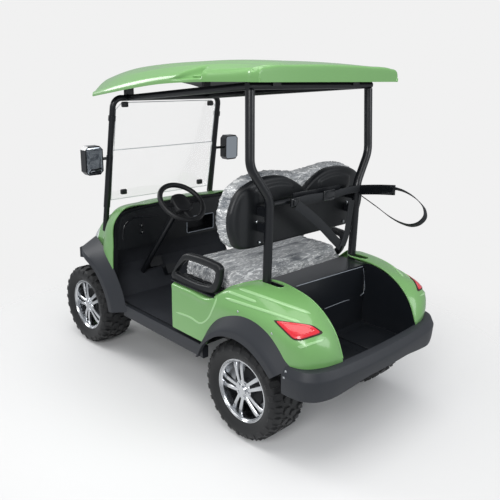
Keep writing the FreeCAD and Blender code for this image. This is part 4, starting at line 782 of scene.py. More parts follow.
# Rows run from the bag well's lower corner round the tail and forward to the cab, each
# from its lower edge up and in, as shares for on_body.
PANEL_SHARES = [
    [(-.299, .588, .326), (-.299, .588, .335), (-.299, .587, .345), (-.298, .586, .355),
     (-.297, .585, .365)],
    [(-.284, .790, .305), (-.290, .775, .430), (-.283, .735, .570), (-.268, .670, .660),
     (-.253, .585, .680)],
    [(-.250, .940, .265), (-.258, .940, .430), (-.258, .915, .610), (-.240, .790, .760),
     (-.213, .585, .815)],
    [(-.195, .995, .220), (-.203, 1.00, .430), (-.200, .990, .650), (-.178, .840, .835),
     (-.160, .585, .920)],
    [(-.118, 1.00, .140), (-.118, 1.00, .430), (-.118, .995, .720), (-.105, .880, .890),
     (-.095, .585, .975)],
    [(0.00, 1.00, .080), (0.00, 1.00, .430), (0.00, .995, .780), (0.00, .910, .920),
     (0.00, .585, .990)],
    [(.089, 1.00, .080), (.089, 1.00, .400), (.089, 1.00, .760), (.089, .950, .885),
     (.089, .870, .915)],
    [(.167, .997, .080), (.167, 1.00, .350), (.167, 1.00, .620), (.167, 1.00, .690),
     (.167, .935, .722)],
    [(.266, .997, .080), (.266, 1.00, .350), (.266, 1.00, .620), (.266, 1.00, .690),
     (.266, .935, .720)],
    [(.366, .995, .080), (.366, 1.00, .350), (.366, 1.00, .620), (.366, 1.00, .690),
     (.366, .935, .717)],
]
PANEL_ARCH = 350
# The slot round a rear post: the middles of its round ends, its half width and its heights.
SLOT_ENDS = (42, -76)
SLOT_Y = 390
SLOT_HALF = 29
SLOT_LOW, SLOT_TOP = 762, 992


def slot_line(grow):
    """The outline of the slot round a rear post, in plan: straight sides, round ends."""
    half = SLOT_HALF + grow
    line = []
    for middle, start in zip(SLOT_ENDS, (-90, 90)):
        for k in range(13):
            turn = math.radians(start + 15 * k)
            line.append((middle + half * math.cos(turn), SLOT_Y + half * math.sin(turn)))
    return line


def make_rear_panels(finishes):
    """The two rear quarters, each with its wheel arch, the slot for the post with a lip
    round it, and a bead along the inner edge. The slot is open where the panel ends."""
    rows = [[on_body(x, y, z) for x, y, z in row] for row in PANEL_SHARES]
    grid = smooth_grid(rows, 16, 14)
    mesh = walled("Quarter", grid, WALL)
    above = surface_of(mesh)
    outline = slot_line(1)
    lip = [above.ray_cast(at(x, y, 1200), Vector((0, 0, -1)))[0]
           for x, y in outline[6:] + outline[:6]]
    lip = [spot for spot in lip if spot]
    slot = [[at(x, y, z) for x, y in slot_line(0)] for z in (SLOT_LOW, SLOT_TOP)]
    left = carved(mesh, arch_cutter(0, 355, 1200, PANEL_ARCH), rings("Slot", slot))
    left = joined("Quarter", [left, swept("Lip", lip, 0.0032, sides=8),
                              swept("Bead", [row[-1] for row in grid], 0.0045, sides=10)])
    made = [piece(f"Rear_panel_{side}", half, finishes["body_colour"], f"rear_panel_{side}",
                  replaces=(f"rear_panel_{side}",), sharp=40)
            for side, half in (("left", left), ("right", mirrored(left)))]
    return made[0]


# Dark mouldings

BUMPER_REACH = 575
BUMPER_LOW, BUMPER_DIP = 425, 38
# The bumper's outer line in plan, from its middle to its left end.
BUMPER_SHARES = [(1.0, 0.0), (0.995, 0.30), (0.975, 0.60), (0.945, 0.80), (0.885, 0.94),
                 (0.80, 1.01), (0.68, 1.04), (0.57, 1.045)]


def make_rear_bumper(finishes):
    """The bumper: a sloped top band over a darker face that is deeper at the corners."""
    plan = [Vector((-BUMPER_REACH * x, HALF_WIDTH * y, 0)) for x, y in BUMPER_SHARES]
    half = smooth_line(plan, 8)
    line = [other_side(point) for point in reversed(half[1:])] + half
    grid = []
    for i, point in enumerate(line):
        before = line[max(i - 1, 0)]
        after = line[min(i + 1, len(line) - 1)]
        way = (after - before).normalized()
        out = Vector((-way.y, way.x, 0))
        low = BUMPER_LOW + BUMPER_DIP * (1 - ramp(abs(point.y), 150, 520))
        sketch = [(-64, 590), (-52, 590), (-26, 588), (-20, 586), (-2, 548), (0, 542),
                  (0, 530), (-4, low + 34), (-9, low + 6), (-16, low), (-64, low)]
        grid.append([at(*(point + out * reach).xy, z) for reach, z in sketch])
    return piece("Rear_bumper", rings("Rear_bumper", grid), finishes["dark_moulding"],
                 "rear_bumper", replaces=("rear_bumper",), sharp=25)


# Each row: the angle round the axle, and shares of the reach, half width and lip.
FRONT_FLARE_SHARES = [
    (56, 0.26, 0.62, 0.73), (68, 0.38, 0.68, 0.77), (80, 0.52, 0.74, 0.84),
    (92, 0.66, 0.82, 0.94), (106, 0.80, 0.90, 1.00), (122, 0.95, 0.97, 1.00),
    (140, 0.99, 1.00, 1.00), (155, 1.00, 1.00, 1.00), (168, 1.00, 1.00, 1.00),
]
REAR_FLARE_SHARES = [
    (19, 0.17, 1.00, 1.00), (38, 0.34, 1.00, 1.00), (54, 0.50, 1.00, 1.00),
    (72, 0.72, 1.00, 1.00), (90, 0.92, 1.00, 1.00), (108, 1.00, 1.00, 1.00),
    (126, 1.00, 0.99, 1.00), (142, 0.98, 0.97, 0.99),
]
FLARE_LIP = 655
FLARE_WALL = 4


def make_flares(finishes):
    """The flares round the arches: a folded lip, a crest and an edge on the panel. The
    rear ones are given back."""
    for name, axle, radius, shares in (
            ("Front_flares", WHEELBASE, 420, FRONT_FLARE_SHARES),
            ("Rear_flares", 0, 335, REAR_FLARE_SHARES)):
        rows = []
        for angle, reach, half, lip in shares:
            turn = math.radians(angle)
            ray = Vector((math.cos(turn), 0, math.sin(turn)))
            lip_y = FLARE_LIP * lip
            section = [(radius, lip_y - 26), (radius, lip_y - 3), (radius + 3, lip_y),
                       (radius + 45 * reach, lip_y), (radius + 52 * reach, lip_y - 2),
                       (radius + 150 * reach, HALF_WIDTH * half)]
            rows.append([at(axle, y, TYRE_RADIUS) + ray * (out / 1000)
                         for out, y in reversed(section)])
        left = walled(name, smooth_grid(rows, 10, 4, breaks=(1, 2, 3, 4)), FLARE_WALL)
        made = piece(name, both_sides(left), finishes["dark_moulding"], name.lower(),
                     replaces=(name.lower(),), sharp=30)
    return made


# Wheels

# Half of the tyre's section, from the bead over the sidewall to the middle of its tread:
# places across and radii.
TYRE_SECTION = [(98, 178), (101, 184), (104, 192), (112, 200), (121, 214), (126, 230),
                (127, 242), (125, 252), (119, 264), (110, 272), (98, 277), (70, 280),
                (35, 281)]
LUG_PAIRS = 24
LUG_TOP = 292
# The rim's section, from its outer lip through the barrel and back along the inside.
RIM_SECTION = [
    (102, 188), (102, 183), (99, 181), (99, 177), (95, 175), (90, 168), (78, 165),
    (40, 160), (-60, 160), (-98, 172), (-102, 188), (-98, 188), (-98, 178), (-70, 178),
    (-52, 164), (52, 164), (70, 178), (98, 178), (98, 188),
]
SPOKES = 5
# A spoke bar from the hub outward: its reach, its near and far edge, and its face.
SPOKE_SECTIONS = [(30, 4, 24, 86), (60, 6, 27, 90), (100, 9, 32, 89), (140, 12, 38, 86),
                  (162, 14, 42, 80)]


def lathe(name, profile, sides=96):
    """A ring turned about the Y axis from places along it and radii."""
    points = []
    faces = []
    count = len(profile)
    for k in range(sides):
        points += [round_the_axis(radius, y, math.tau * k / sides) for y, radius in profile]
        following = ((k + 1) % sides) * count
        for i in range(count):
            j = (i + 1) % count
            faces.append((k * count + i, k * count + j, following + j, following + i))
    return mesh_of(name, points, faces)


def add_lug(points, faces, outline, base):
    """A tread block: an outline of angles in degrees and places across, from the carcass
    to the road, a little narrower at its top and lower towards the shoulder."""
    start = len(points)
    middle_turn = sum(turn for turn, y in outline) / len(outline)
    middle_y = sum(y for turn, y in outline) / len(outline)
    count = len(outline)
    for radius, shrink in ((base, 1.06), (LUG_TOP - 1.5, 0.97), (LUG_TOP, 0.9)):
        for turn, y in outline:
            angle = math.radians(middle_turn + (turn - middle_turn) * shrink)
            across = middle_y + (y - middle_y) * shrink
            drop = max(abs(across) - 96, 0) ** 1.6 * 0.22
            points.append(round_the_axis(radius - drop, across, angle))
    for level in range(2):
        for k in range(count):
            a = start + level * count + k
            b = start + level * count + (k + 1) % count
            faces.append((a, b, b + count, a + count))
    faces.append(tuple(start + 2 * count + k for k in range(count)))


def tyre_mesh():
    """An all-terrain tyre: a carcass with a bare sidewall, and on each side a row of
    staggered tread lugs, a row of shoulder lugs and their ribs down the sidewall."""
    profile = TYRE_SECTION + [(0, 281)]
    profile += [(-y, radius) for y, radius in reversed(TYRE_SECTION)]
    carcass = lathe("Tyre", profile, 104)
    points = [vertex.co.copy() for vertex in carcass.vertices]
    faces = [tuple(polygon.vertices) for polygon in carcass.polygons]
    pitch = 360 / LUG_PAIRS
    for k in range(LUG_PAIRS):
        for side in (1, -1):
            turn = k * pitch + (0 if side > 0 else pitch / 2)
            wide = 1 if k % 2 else 0.8
            shoulder = [(-4.4 * wide, 70), (-1.5, 58), (4.6 * wide, 66), (4.9 * wide, 100),
                        (4.2 * wide, 117), (-4.2 * wide, 117), (-5.0 * wide, 98)]
            tread = [(1.0, 8), (6.2, 4), (9.6, 22), (8.8, 48), (4.4, 54), (0.6, 34)]
            for outline, base in ((shoulder, 276), (tread, 277)):
                add_lug(points, faces, [(turn + step, side * y) for step, y in outline], base)
            start = len(points)
            for radius, y in ((272, 118), (262, 124.5), (248, 128.5), (240, 128.5)):
                for step, out in ((-3.6, 0), (-3.0, 3.5), (3.0, 3.5), (3.6, 0)):
                    lean = out * (1 if radius > 245 else 0.2)
                    points.append(round_the_axis(radius + lean * 0.5, side * (y + lean - 2.2),
                                                 math.radians(turn + step * wide)))
            faces += sheet_faces(4, 4, start)
    return mesh_of("Tyre", points, faces)


def spoke_bar(turn, side):
    """One bar of a pair, which runs out to the barrel and bends down to it."""
    loops = []
    for reach, near, far, face in SPOKE_SECTIONS:
        corners = [(near, face - 16), (near, face - 3), (near + 2.5, face), (far - 2.5, face),
                   (far, face - 3), (far, face - 16)]
        loops.append([turn @ (Vector((x * side, y, reach)) / 1000) for x, y in corners])
    return rings("Bar", loops)


def boss(top, low, radius, middle=Vector(), sides=40):
    """A short round boss with a bevelled edge, whose axis runs across the cart."""
    return rings("Boss", [[middle + round_the_axis(reach, y, math.tau * k / sides)
                           for k in range(sides)]
                          for y, reach in ((low, radius), (top - 2, radius),
                                           (top, radius - 2))])


def rim_mesh():
    """A cast rim: a stepped bright lip, a barrel, five paired spokes, a hub in three steps
    and a wheel nut between each pair."""
    parts = [lathe("Rim", RIM_SECTION)]
    for k in range(SPOKES):
        turn = Matrix.Rotation(math.tau * k / SPOKES + math.pi / 2, 4, "Y")
        parts += [spoke_bar(turn, side) for side in (1, -1)]
    parts += [boss(*sizes) for sizes in ((86, 40, 60), (90, 84, 34), (97, 88, 26))]
    parts += [boss(92, 80, 9, round_the_axis(42, 0, math.tau * (k + 0.5) / SPOKES), sides=6)
              for k in range(SPOKES)]
    return joined("Rim", parts)


def make_wheels(finishes):
    """The four tyres and rims, from one mould and one casting, turned about on the right."""
    meshes = {"tyre": tyre_mesh(), "rim": rim_mesh()}
    for end, x in (("front", WHEELBASE), ("rear", 0)):
        for side, y in (("left", 1), ("right", -1)):
            turn = Matrix.Rotation(0 if y > 0 else math.pi, 4, "Z")
            place = Matrix.Translation(at(x, WHEEL_Y * y, TYRE_RADIUS)) @ turn
            for kind, source in meshes.items():
                mesh = source.copy()
                mesh.transform(place)
                name = f"{kind}_{end}_{side}"
                piece(name.capitalize(), mesh, finishes[kind], name, replaces=(name,),
                      sharp=32)


# Seat

# Half of the back's outline, from the dip between its humps to the middle of its lower
# edge, as shares of its half width and height.
BACK_SHARES = [(0.0, 0.73), (0.18, 0.90), (0.34, 0.985), (0.48, 1.0), (0.72, 0.96), (0.90, 0.84),
               (1.0, 0.60), (0.99, 0.22), (0.92, 0.05), (0.70, 0.0)]
# The cushion is fuller between the humps than the shell behind it.
CUSHION_SHARES = [(0.0, 0.945), (0.18, 0.96), (0.34, 0.99), (0.48, 1.0), (0.72, 0.96),
                  (0.90, 0.84), (1.0, 0.60), (0.99, 0.22), (0.92, 0.05), (0.70, 0.0)]
BACK_HALF = 582
BACK_LOW, BACK_TOP = 1070, 1460
SHELL_REAR, SHELL_FRONT = 122, 146

# The foam's mesh, how far its cover may swell, and how high the film's creases lift, in
# millimetres.
VOXEL = 9
SWELL = 9
CREASE_HEIGHT = 4.5
FOAM_PRESSURE = 4
COVER_MASS = 0.3
SETTLING_FRAMES = 20

BENCH_LOW = 799.8
BENCH_HALF = 490
BENCH_MIDDLE = 400
# The bench in side view, from its rear lower edge round its nose and back along its top.
BENCH_SECTION = [(156, 0), (624, 0), (638, 10), (642, 34), (642, 60), (632, 84), (604, 91.8),
                 (520, 95.8), (330, 93.8), (244, 89.8), (220, 77.8)]
# Places across the bench, with how far the section shrinks there.
BENCH_ENDS = [(-1, 0.86), (-0.985, 0.94), (-0.955, 0.985), (-0.9, 1), (-0.45, 1), (0, 1),
              (0.45, 1), (0.9, 1), (0.955, 0.985), (0.985, 0.94), (1, 0.86)]
# Steps from the back cushion's rear face forward, with how far its outline grows there.
BACK_LAYERS = [(0, -16), (3, -4), (14, 6), (34, 12), (60, 13), (80, 4), (92, -14), (96, -40)]


def back_outline(shares, half, low, top, steps):
    """The outline of the back, from the dip between its humps round to the same dip."""
    right = smooth_line([Vector((y, z, 0)) for y, z in shares], steps)
    loop = right + [Vector((-point.x, point.y, 0)) for point in reversed(right[1:])]
    return [(half * point.x, low + (top - low) * point.y) for point in loop]


def puffed(mesh, rest):
    """Foam under a loose cover: the cover swells under pressure from the foam, and rest
    keeps it off what it lies on."""
    soft = dressed(mesh, "REMESH", mode="VOXEL", voxel_size=VOXEL / 1000)
    scene = bpy.context.scene
    item = bpy.data.objects.new("Cover", soft)
    scene.collection.objects.link(item)
    cloth = item.modifiers.new("Cover", "CLOTH")
    cloth.settings.use_pressure = True
    cloth.settings.uniform_pressure_force = FOAM_PRESSURE
    cloth.settings.effector_weights.gravity = 0
    cloth.settings.quality = 5
    cloth.settings.mass = COVER_MASS
    for frame_number in range(1, SETTLING_FRAMES + 1):
        scene.frame_set(frame_number)
    graph = bpy.context.evaluated_depsgraph_get()
    moved = item.evaluated_get(graph).to_mesh()
    reach = SWELL / 1000
    for vertex, simulated in zip(soft.vertices, moved.vertices):
        step = simulated.co - vertex.co
        if step.length > reach:
            step = step / step.length * reach
        vertex.co = rest(vertex.co + step)
    bpy.data.objects.remove(item)
    scene.frame_set(1)
    return soft


def crinkled(mesh, stretch):
    """The clear film round a cushion: folds that run along it and lift off the cover.
    stretch gives how often they repeat in a metre along each axis."""
    soft = dressed(mesh, "SUBSURF", levels=1)
    ways = [vertex.normal.copy() for vertex in soft.vertices]
    for vertex, way in zip(soft.vertices, ways):
        spot = vertex.co * Vector(stretch)
        bend = noise.noise_vector(spot * 0.35) * 1.4
        folds = 1 - abs(noise.noise(spot + bend)) * 2.4
        small = 1 - abs(noise.noise((spot + bend) * 2.7)) * 2.4
        lift = max(folds, 0) ** 3 + 0.45 * max(small, 0) ** 3
        vertex.co += way * (CREASE_HEIGHT / 1000 * lift)
    return soft


def make_bench_cushion(finishes):
    """The seat's cushion, still wrapped in crinkled film."""
    loops = []
    for share, shrink in BENCH_ENDS:
        loop = []
        for x, z in BENCH_SECTION:
            squeeze = 1 - (1 - shrink) * (1 if z > 20 else 0.3)
            loop.append(at(BENCH_MIDDLE + (x - BENCH_MIDDLE) * squeeze, BENCH_HALF * share,
                           BENCH_LOW + z * squeeze))
        loops.append(loop)
    board = at(0, 0, BENCH_LOW).z
    mesh = puffed(rings("Seat", loops), lambda p: Vector((p.x, p.y, max(p.z, board))))
    seat = piece("Bench_cushion", crinkled(mesh, (30, 9, 30)), finishes["seat_cover"],
                 "seat_cushion", replaces=("seat_cushion",), sharp=80)


def make_back_cushion(finishes):
    """The back's cushion with its two humps, wrapped in the same film."""
    face = SHELL_FRONT + 0.5
    loops = []
    for step, grow in BACK_LAYERS:
        outline = back_outline(CUSHION_SHARES, BACK_HALF + grow, BACK_LOW - grow * 0.1,
                               BACK_TOP + 12 + grow, 4)
        loops.append([at(face + step, y, z) for y, z in outline])
    wall = at(face, 0, 0).x
    mesh = puffed(rings("Back", loops), lambda p: Vector((max(p.x, wall), p.y, p.z)))
    back = piece("Back_cushion", crinkled(mesh, (12, 22, 26)), finishes["back_cover"],
                 "backrest_cushion", replaces=("backrest_cushion",), sharp=80)


def shell_relief(y, z):
    """How far the shell's rear stands out at its two raised pads, in millimetres."""
    across = abs(abs(y) - 265) / 150
    crown = 1425 - 26 * across ** 2
    inside = ramp(crown - z, 0, 16) * ramp(z - 1318, -6, 18) * (1 - ramp(across, 0.9, 1.05))
    border = ramp(abs(y), 470, 520)
    return 13 * inside - 9 * border


def make_back_shell(finishes):
    """The blow-moulded shell behind the back cushion: a rounded border and a raised pad
    behind each rider's shoulders."""
    outline = back_outline(BACK_SHARES, BACK_HALF, BACK_LOW, BACK_TOP, 8)
    middle_z = BACK_LOW + (BACK_TOP - BACK_LOW) * 0.42
    loops = [[at(x, y * size, middle_z + (z - middle_z) * size) for y, z in outline]
             for x, size in ((SHELL_FRONT, 0.985), (SHELL_FRONT - 3, 1.0), (SHELL_REAR, 1.0))]
    steps = 44
    for k in range(1, steps):
        share = k / steps
        edge = min(share / 0.09, 1)
        bend = 20 * math.sqrt(1 - (1 - edge) ** 2)
        loop = []
        for y, z in outline:
            near_y = y * (1 - share)
            near_z = middle_z + (z - middle_z) * (1 - share)
            relief = shell_relief(near_y, near_z) * edge
            loop.append(at(SHELL_REAR - bend - relief, near_y, near_z))
        loops.append(loop)
    mesh = rings("Backrest_casing", loops)
    return piece("Backrest_casing", mesh, finishes["black_moulding"], "backrest_shell",
                 replaces=("backrest_shell",), sharp=50)


# The armrest's outside in side view, from its front foot over its top and back.
ARMREST_SHARES = [(0.97, 0.0), (1.0, 0.04), (1.0, 0.10), (0.95, 0.30), (0.80, 0.76), (0.74, 0.90),
                  (0.65, 0.98), (0.55, 1.0), (0.14, 1.0), (0.05, 0.97), (0.0, 0.88),
                  (0.0, 0.78), (0.10, 0.12), (0.14, 0.04), (0.20, 0.0)]
ARMREST_START, ARMREST_LENGTH = 200, 450
ARMREST_LOW, ARMREST_RISE = 785.6, 199
ARMREST_Y, ARMREST_HALF = 562, 22
ARMREST_FLESH = 44


def armrest_line(inset):
    """The outline of an armrest in side view, an inset within its outside."""
    corners = [Vector((ARMREST_START + inset + (ARMREST_LENGTH - inset * 2) * x,
                       ARMREST_LOW + inset + (ARMREST_RISE - inset * 2) * z, 0))
               for x, z in ARMREST_SHARES]
    return smooth_line(corners + corners[:1], 4)[:-1]


def make_armrests(finishes):
    """A soft ring beside the seat on each side, with fat round edges."""
    loops = []
    for far, near in zip(armrest_line(0), armrest_line(ARMREST_FLESH)):
        loop = []
        for k in range(16):
            turn = math.tau * (k + 0.5) / 16
            across, deep = (math.copysign(abs(way) ** 0.6, way)
                            for way in (math.cos(turn), math.sin(turn)))
            spot = near.lerp(far, (across + 1) / 2)
            loop.append(at(spot.x, ARMREST_Y + ARMREST_HALF * deep, spot.y))
        loops.append(loop)
    ring = rings("Armrests", loops + loops[:1], capped=(False, False))
    piece("Armrests", both_sides(ring), finishes["black_moulding"], "armrests",
          replaces=("armrests",), sharp=60)


def dome(spot, way, radius, height):
    """A domed screw head with a washer and a socket, standing out of a surface."""
    turn = Matrix.Translation(spot) @ way.to_track_quat("Z", "Y").to_matrix().to_4x4()
    levels = ((1.45, -0.5), (1.45, 0.5), (1.35, 0.8), (1.0, 0.8), (0.97, height * 0.55),
              (0.75, height * 0.85), (0.4, height), (0.28, height * 0.7))
    loops = [[turn @ (Vector((math.cos(math.tau * k / 18) * radius * size,
                              math.sin(math.tau * k / 18) * radius * size, lift)) / 1000)
              for k in range(18)] for size, lift in levels]
    return rings("Screw", loops, capped=(False, True))


# Lamps, ribs and fasteners on the body

# Names that end in PIXELS hold places in the photograph, read off it. The first is the
# tail lamp's outline.
TAIL_LAMP_PIXELS = [(274.6, 320.8), (282.3, 321.5), (311.5, 325.4), (322.3, 333.1),
                    (300.8, 340.0), (293.1, 339.2)]
# Each rib's two ends.
RIB_PIXELS = [((239.3, 288.6), (310.7, 313.6)), ((227.9, 291.4), (256.4, 302.1)),
              ((225.0, 297.9), (301.0, 322.6))]
# The fold that runs from the cab's side up to the armrest.
CREASE_PIXELS = [(176, 312.2), (190, 317.2), (201.5, 323.2), (206.9, 319.8), (213, 308.5),
                 (216.9, 297.5)]
# The bright strip under the lamp.
CHAMFER_PIXELS = [(296.2, 346.2), (311.0, 342.3), (326.2, 337.7), (323.8, 340.8),
                  (311.0, 345.2), (300.0, 349.2)]
# The screws of the rear flare, of the quarter and of the bumper's end.
TAIL_SCREW_PIXELS = [(237.7, 311.6), (271.6, 333.6), (285.4, 371.5), (283.8, 377.7)]


def patch(name, surface, outline, levels):
    """A raised patch on a surface, inside an outline of pixels with rounded corners. Each
    level gives how far it has shrunk towards the middle and how many millimetres it
    stands out."""
    corner = 0.25
    sides = 6
    corners = [Vector((x, y, 0)) for x, y in outline]
    line = []
    for i, here in enumerate(corners):
        before = corners[i - 1]
        after = corners[(i + 1) % len(corners)]
        start = here.lerp(before, corner)
        end = here.lerp(after, corner)
        for k in range(4):
            t = k / 3
            line.append(start.lerp(here, t).lerp(here.lerp(end, t), t))
        reach = after.lerp(here, corner)
        line += [end.lerp(reach, k / sides) for k in range(1, sides)]
    middle = sum(corners, Vector()) / len(corners)
    loops = []
    for shrink, lift in levels:
        loop = []
        for point in line:
            pixel = middle + (point - middle) * shrink
            spot, out = seen_on(surface, pixel.x, pixel.y)
            loop.append(spot + out * (lift / 1000))
        loops.append(loop)
    return rings(name, loops, capped=(False, True))


# A rib's section: shares of its width and of its height.
RIB_SECTION = [(-1, -0.6), (-0.85, 0.55), (-0.5, 1), (0.5, 1), (0.85, 0.55), (1, -0.6)]


def rib(surface, pixels, width, height):
    """A raised rib along a line of pixels, narrow and low at its two ends."""
    line = smooth_line([Vector((*pixel, 0)) for pixel in pixels], 24 // (len(pixels) - 1))
    loops = []
    for k, point in enumerate(line):
        share = k / (len(line) - 1)
        way = line[min(k + 1, len(line) - 1)] - line[max(k - 1, 0)]
        side = Vector((-way.y, way.x, 0)).normalized()
        fade = math.sin(math.pi * min(share, 1 - share, 0.07) / 0.14)
        loop = []
        for across, lift in RIB_SECTION:
            pixel = point + side * (across * width * max(fade, 0.15))
            spot, out = seen_on(surface, pixel.x, pixel.y)
            loop.append(spot + out * (height * lift * max(fade, 0.1) / 1000))
        loops.append(loop)
    return rings("Rib", loops, capped=(False, False), closed=False)


def make_tail_lamps(finishes, panel):
    """Red lamps let into the tail: a dark gasket round a stepped lens."""
    bezel = patch("Tail_lamp_bezels", panel, TAIL_LAMP_PIXELS,
                  [(1.10, -1.5), (1.09, 1.5), (1.02, 4.5), (0.97, 5.0), (0.95, 2.0)])
    lens = patch("Tail_lamps", panel, TAIL_LAMP_PIXELS,
                 [(0.965, 1.0), (0.955, 4.5), (0.92, 7.0), (0.70, 8.0), (0.675, 6.4),
                  (0.64, 6.4), (0.615, 8.0), (0.3, 9.0), (0.04, 9.2)])
    piece("Tail_lamps", both_sides(lens), finishes["lamp_red"], "tail_lamps",
          replaces=("tail_lamps",), sharp=28)
    piece("Tail_lamp_bezels", both_sides(bezel), finishes["lamp_gasket"], "tail_lamps",
          sharp=28)


def make_panel_relief(finishes, panel):
    """The pressed ribs on the rear quarters and the chamfer under each lamp, in a lighter paint
    that is a painted highlight.
    """
    ribs = [rib(panel, ends, 1.7, 4.5) for ends in RIB_PIXELS]
    ribs.append(rib(panel, CREASE_PIXELS, 1.0, 2.2))
    strip = patch("Chamfer", panel, CHAMFER_PIXELS, [(1.0, -1.0), (0.9, 2.6), (0.5, 3.4),
                                                     (0.05, 3.6)])
    # The lighter paint on ribs and strip is a painted highlight.
    piece("Panel_ribs", both_sides(joined("Panel_ribs", ribs + [strip])),
          finishes["rib_painted_highlight"], "rear_panel_left", sharp=40)


# The bolts in the left half of the back, from the rear axle's middle.
BACK_BOLTS = [(92, 267, 1306), (98, 405, 1223), (96, 380, 1101)]


def make_body_screws(finishes, tail):
    """The bright screws that hold the flares and the bumper."""
    heads = [dome(*seen_on(tail, *pixel), 4.5, 4) for pixel in TAIL_SCREW_PIXELS]
    piece("Body_screws", both_sides(joined("Screws", heads)), finishes["plated_steel"],
          "rear_bumper", sharp=30)


def make_backrest_bolts(finishes):
    """The six bolts through the shell of the back."""
    heads = [dome(at(*place), Vector((-1, 0, 0)), 6, 6) for place in BACK_BOLTS]
    piece("Backrest_bolts", both_sides(joined("Backrest_bolts", heads)), finishes["plated_steel"],
          "backrest_shell", sharp=30)


# Cab

WHEEL_CENTRE = (924, 280, 1171)
COLUMN_LEAN = 38.2
WHEEL_RADIUS = 152
GRIP_RADIUS = 17.2
# Each spoke's angle and width, and along it the reach, width share, height and drop.
WHEEL_SPOKES = [(90, 34), (-90, 34), (180, 46)]
WHEEL_SPOKE_SECTIONS = [(36, 1.25, 9, -14), (70, 1.0, 7, -12), (110, 0.8, 6, -8),
                        (150, 0.95, 6, -2)]
SPOKE_CORNERS = [(-1, 0.2), (-0.8, 1), (0.8, 1), (1, 0.2), (1, -0.6), (0.8, -1), (-0.8, -1),
                 (-1, -0.6)]
# The hub in plan, and its levels from the column up: a size and a height.
HUB_SHARES = [(-0.72, -0.86), (-1.0, 0.0), (-0.72, 0.86), (0.1, 0.98), (0.82, 0.62),
              (0.96, 0.0), (0.82, -0.62), (0.1, -0.98)]
HUB_LEVELS = [(0.72, -58), (0.86, -40), (1.0, -12), (1.0, -2), (0.95, 5), (0.86, 8.5),
              (0.80, 7.5), (0.76, 7.5), (0.7, 10), (0.3, 12)]
HUB_LENGTH, HUB_WIDTH = 76, 72


def steering_spoke(angle, width):
    """A flat spoke from the hub to the rim, narrowest before it meets the rim."""
    turn = math.radians(angle)
    way = Vector((math.cos(turn), math.sin(turn), 0))
    side = Vector((-way.y, way.x, 0))
    loops = [[(way * reach + side * (width / 2 * share * across)
               + Vector((0, 0, drop + height * up))) / 1000 for across, up in SPOKE_CORNERS]
             for reach, share, height, drop in WHEEL_SPOKE_SECTIONS]
    return rings("Spoke", loops)


def make_steering_wheel(finishes):
    """A moulded wheel: a fat rim, three flat spokes and a deep hub cover."""
    circle = [Vector((math.cos(math.tau * k / 72), math.sin(math.tau * k / 72), 0))
              * (WHEEL_RADIUS / 1000) for k in range(72)]
    parts = [swept("Rim", circle, GRIP_RADIUS / 1000, sides=18, closed=True)]
    parts += [steering_spoke(angle, width) for angle, width in WHEEL_SPOKES]
    corners = [Vector((x, y, 0)) for x, y in HUB_SHARES + HUB_SHARES[:1]]
    outline = smooth_line(corners, 5)[:-1]
    loops = [[Vector((spot.x * HUB_LENGTH * size, spot.y * HUB_WIDTH * size, height)) / 1000
              for spot in outline] for size, height in HUB_LEVELS]
    parts.append(rings("Hub", loops))
    mesh = joined("Steering_wheel", parts)
    mesh.transform(Matrix.Translation(at(*WHEEL_CENTRE))
                   @ Matrix.Rotation(math.radians(-COLUMN_LEAN), 4, "Y"))
    piece("Steering_wheel", mesh, finishes["wheel_grip"], "steering_wheel",
          replaces=("steering_wheel",), sharp=38)


MIRROR_HALF_WIDTH, MIRROR_HALF_HEIGHT, MIRROR_CORNER = 0.056, 0.086, 0.018
# From the mirror's outer edge to the middle of its glass.
MIRROR_INSET = 0.066


def rounded_outline(half_y, half_z, corner, steps):
    """A rectangle with round corners, as places across and up from its middle."""
    outline = []
    for turn, (sign_y, sign_z) in enumerate(((1, 1), (-1, 1), (-1, -1), (1, -1))):
        for k in range(steps + 1):
            angle = math.pi / 2 * (turn + k / steps)
            outline.append((sign_y * (half_y - corner) + corner * math.cos(angle),
                            sign_z * (half_z - corner) + corner * math.sin(angle)))
    return outline


def make_mirror_glass(finishes):
    """The silvered glass in each mirror's rear face, with a thin bevelled border."""
    low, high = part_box("mirrors")
    middle_y = high.y - MIRROR_INSET
    middle_z = (low.z + high.z) / 2
    outline = rounded_outline(MIRROR_HALF_WIDTH, MIRROR_HALF_HEIGHT, MIRROR_CORNER, 6)
    loops = [[Vector((low.x - lift, middle_y + y * size, middle_z + z * size))
              for y, z in outline]
             for size, lift in ((1.0, -0.001), (1.0, 0.0008), (0.97, 0.0012), (0.5, 0.0014))]
    piece("Mirror_glass", both_sides(rings("Mirror_glass", loops)), finishes["mirror_silver"],
          "mirrors", sharp=30)


# The moulded edge of the dash's left bay, and its two knobs.
BAY_PIXELS = [(122.9, 240), (122.9, 234.3), (125, 224.8), (132, 219), (146, 217), (158, 215.5)]
KNOB_PIXELS = [(141.4, 225.2), (142, 231.8)]
# The open bin, from the dash's middle and from its lower edge.
BIN_NEAR, BIN_FAR = -0.022, -0.28
BIN_LOW, BIN_TOP = 0.022, 0.14
BIN_CORNER = 0.012


def make_dash_bay(finishes):
    """The dash's left bay with its two knobs."""
    surface = surface_of(frame["nodes"]["dashboard"])
    parts = [dome(*seen_on(surface, *pixel), 11, 16) for pixel in KNOB_PIXELS]
    line = [seen_on(surface, *pixel)[0] for pixel in BAY_PIXELS]
    parts.append(swept("Edge", smooth_line(line, 6), 0.005, sides=10))
    piece("Dash_bay", joined("Dash_bay", parts), finishes["gloss_black"], "dashboard",
          sharp=50)


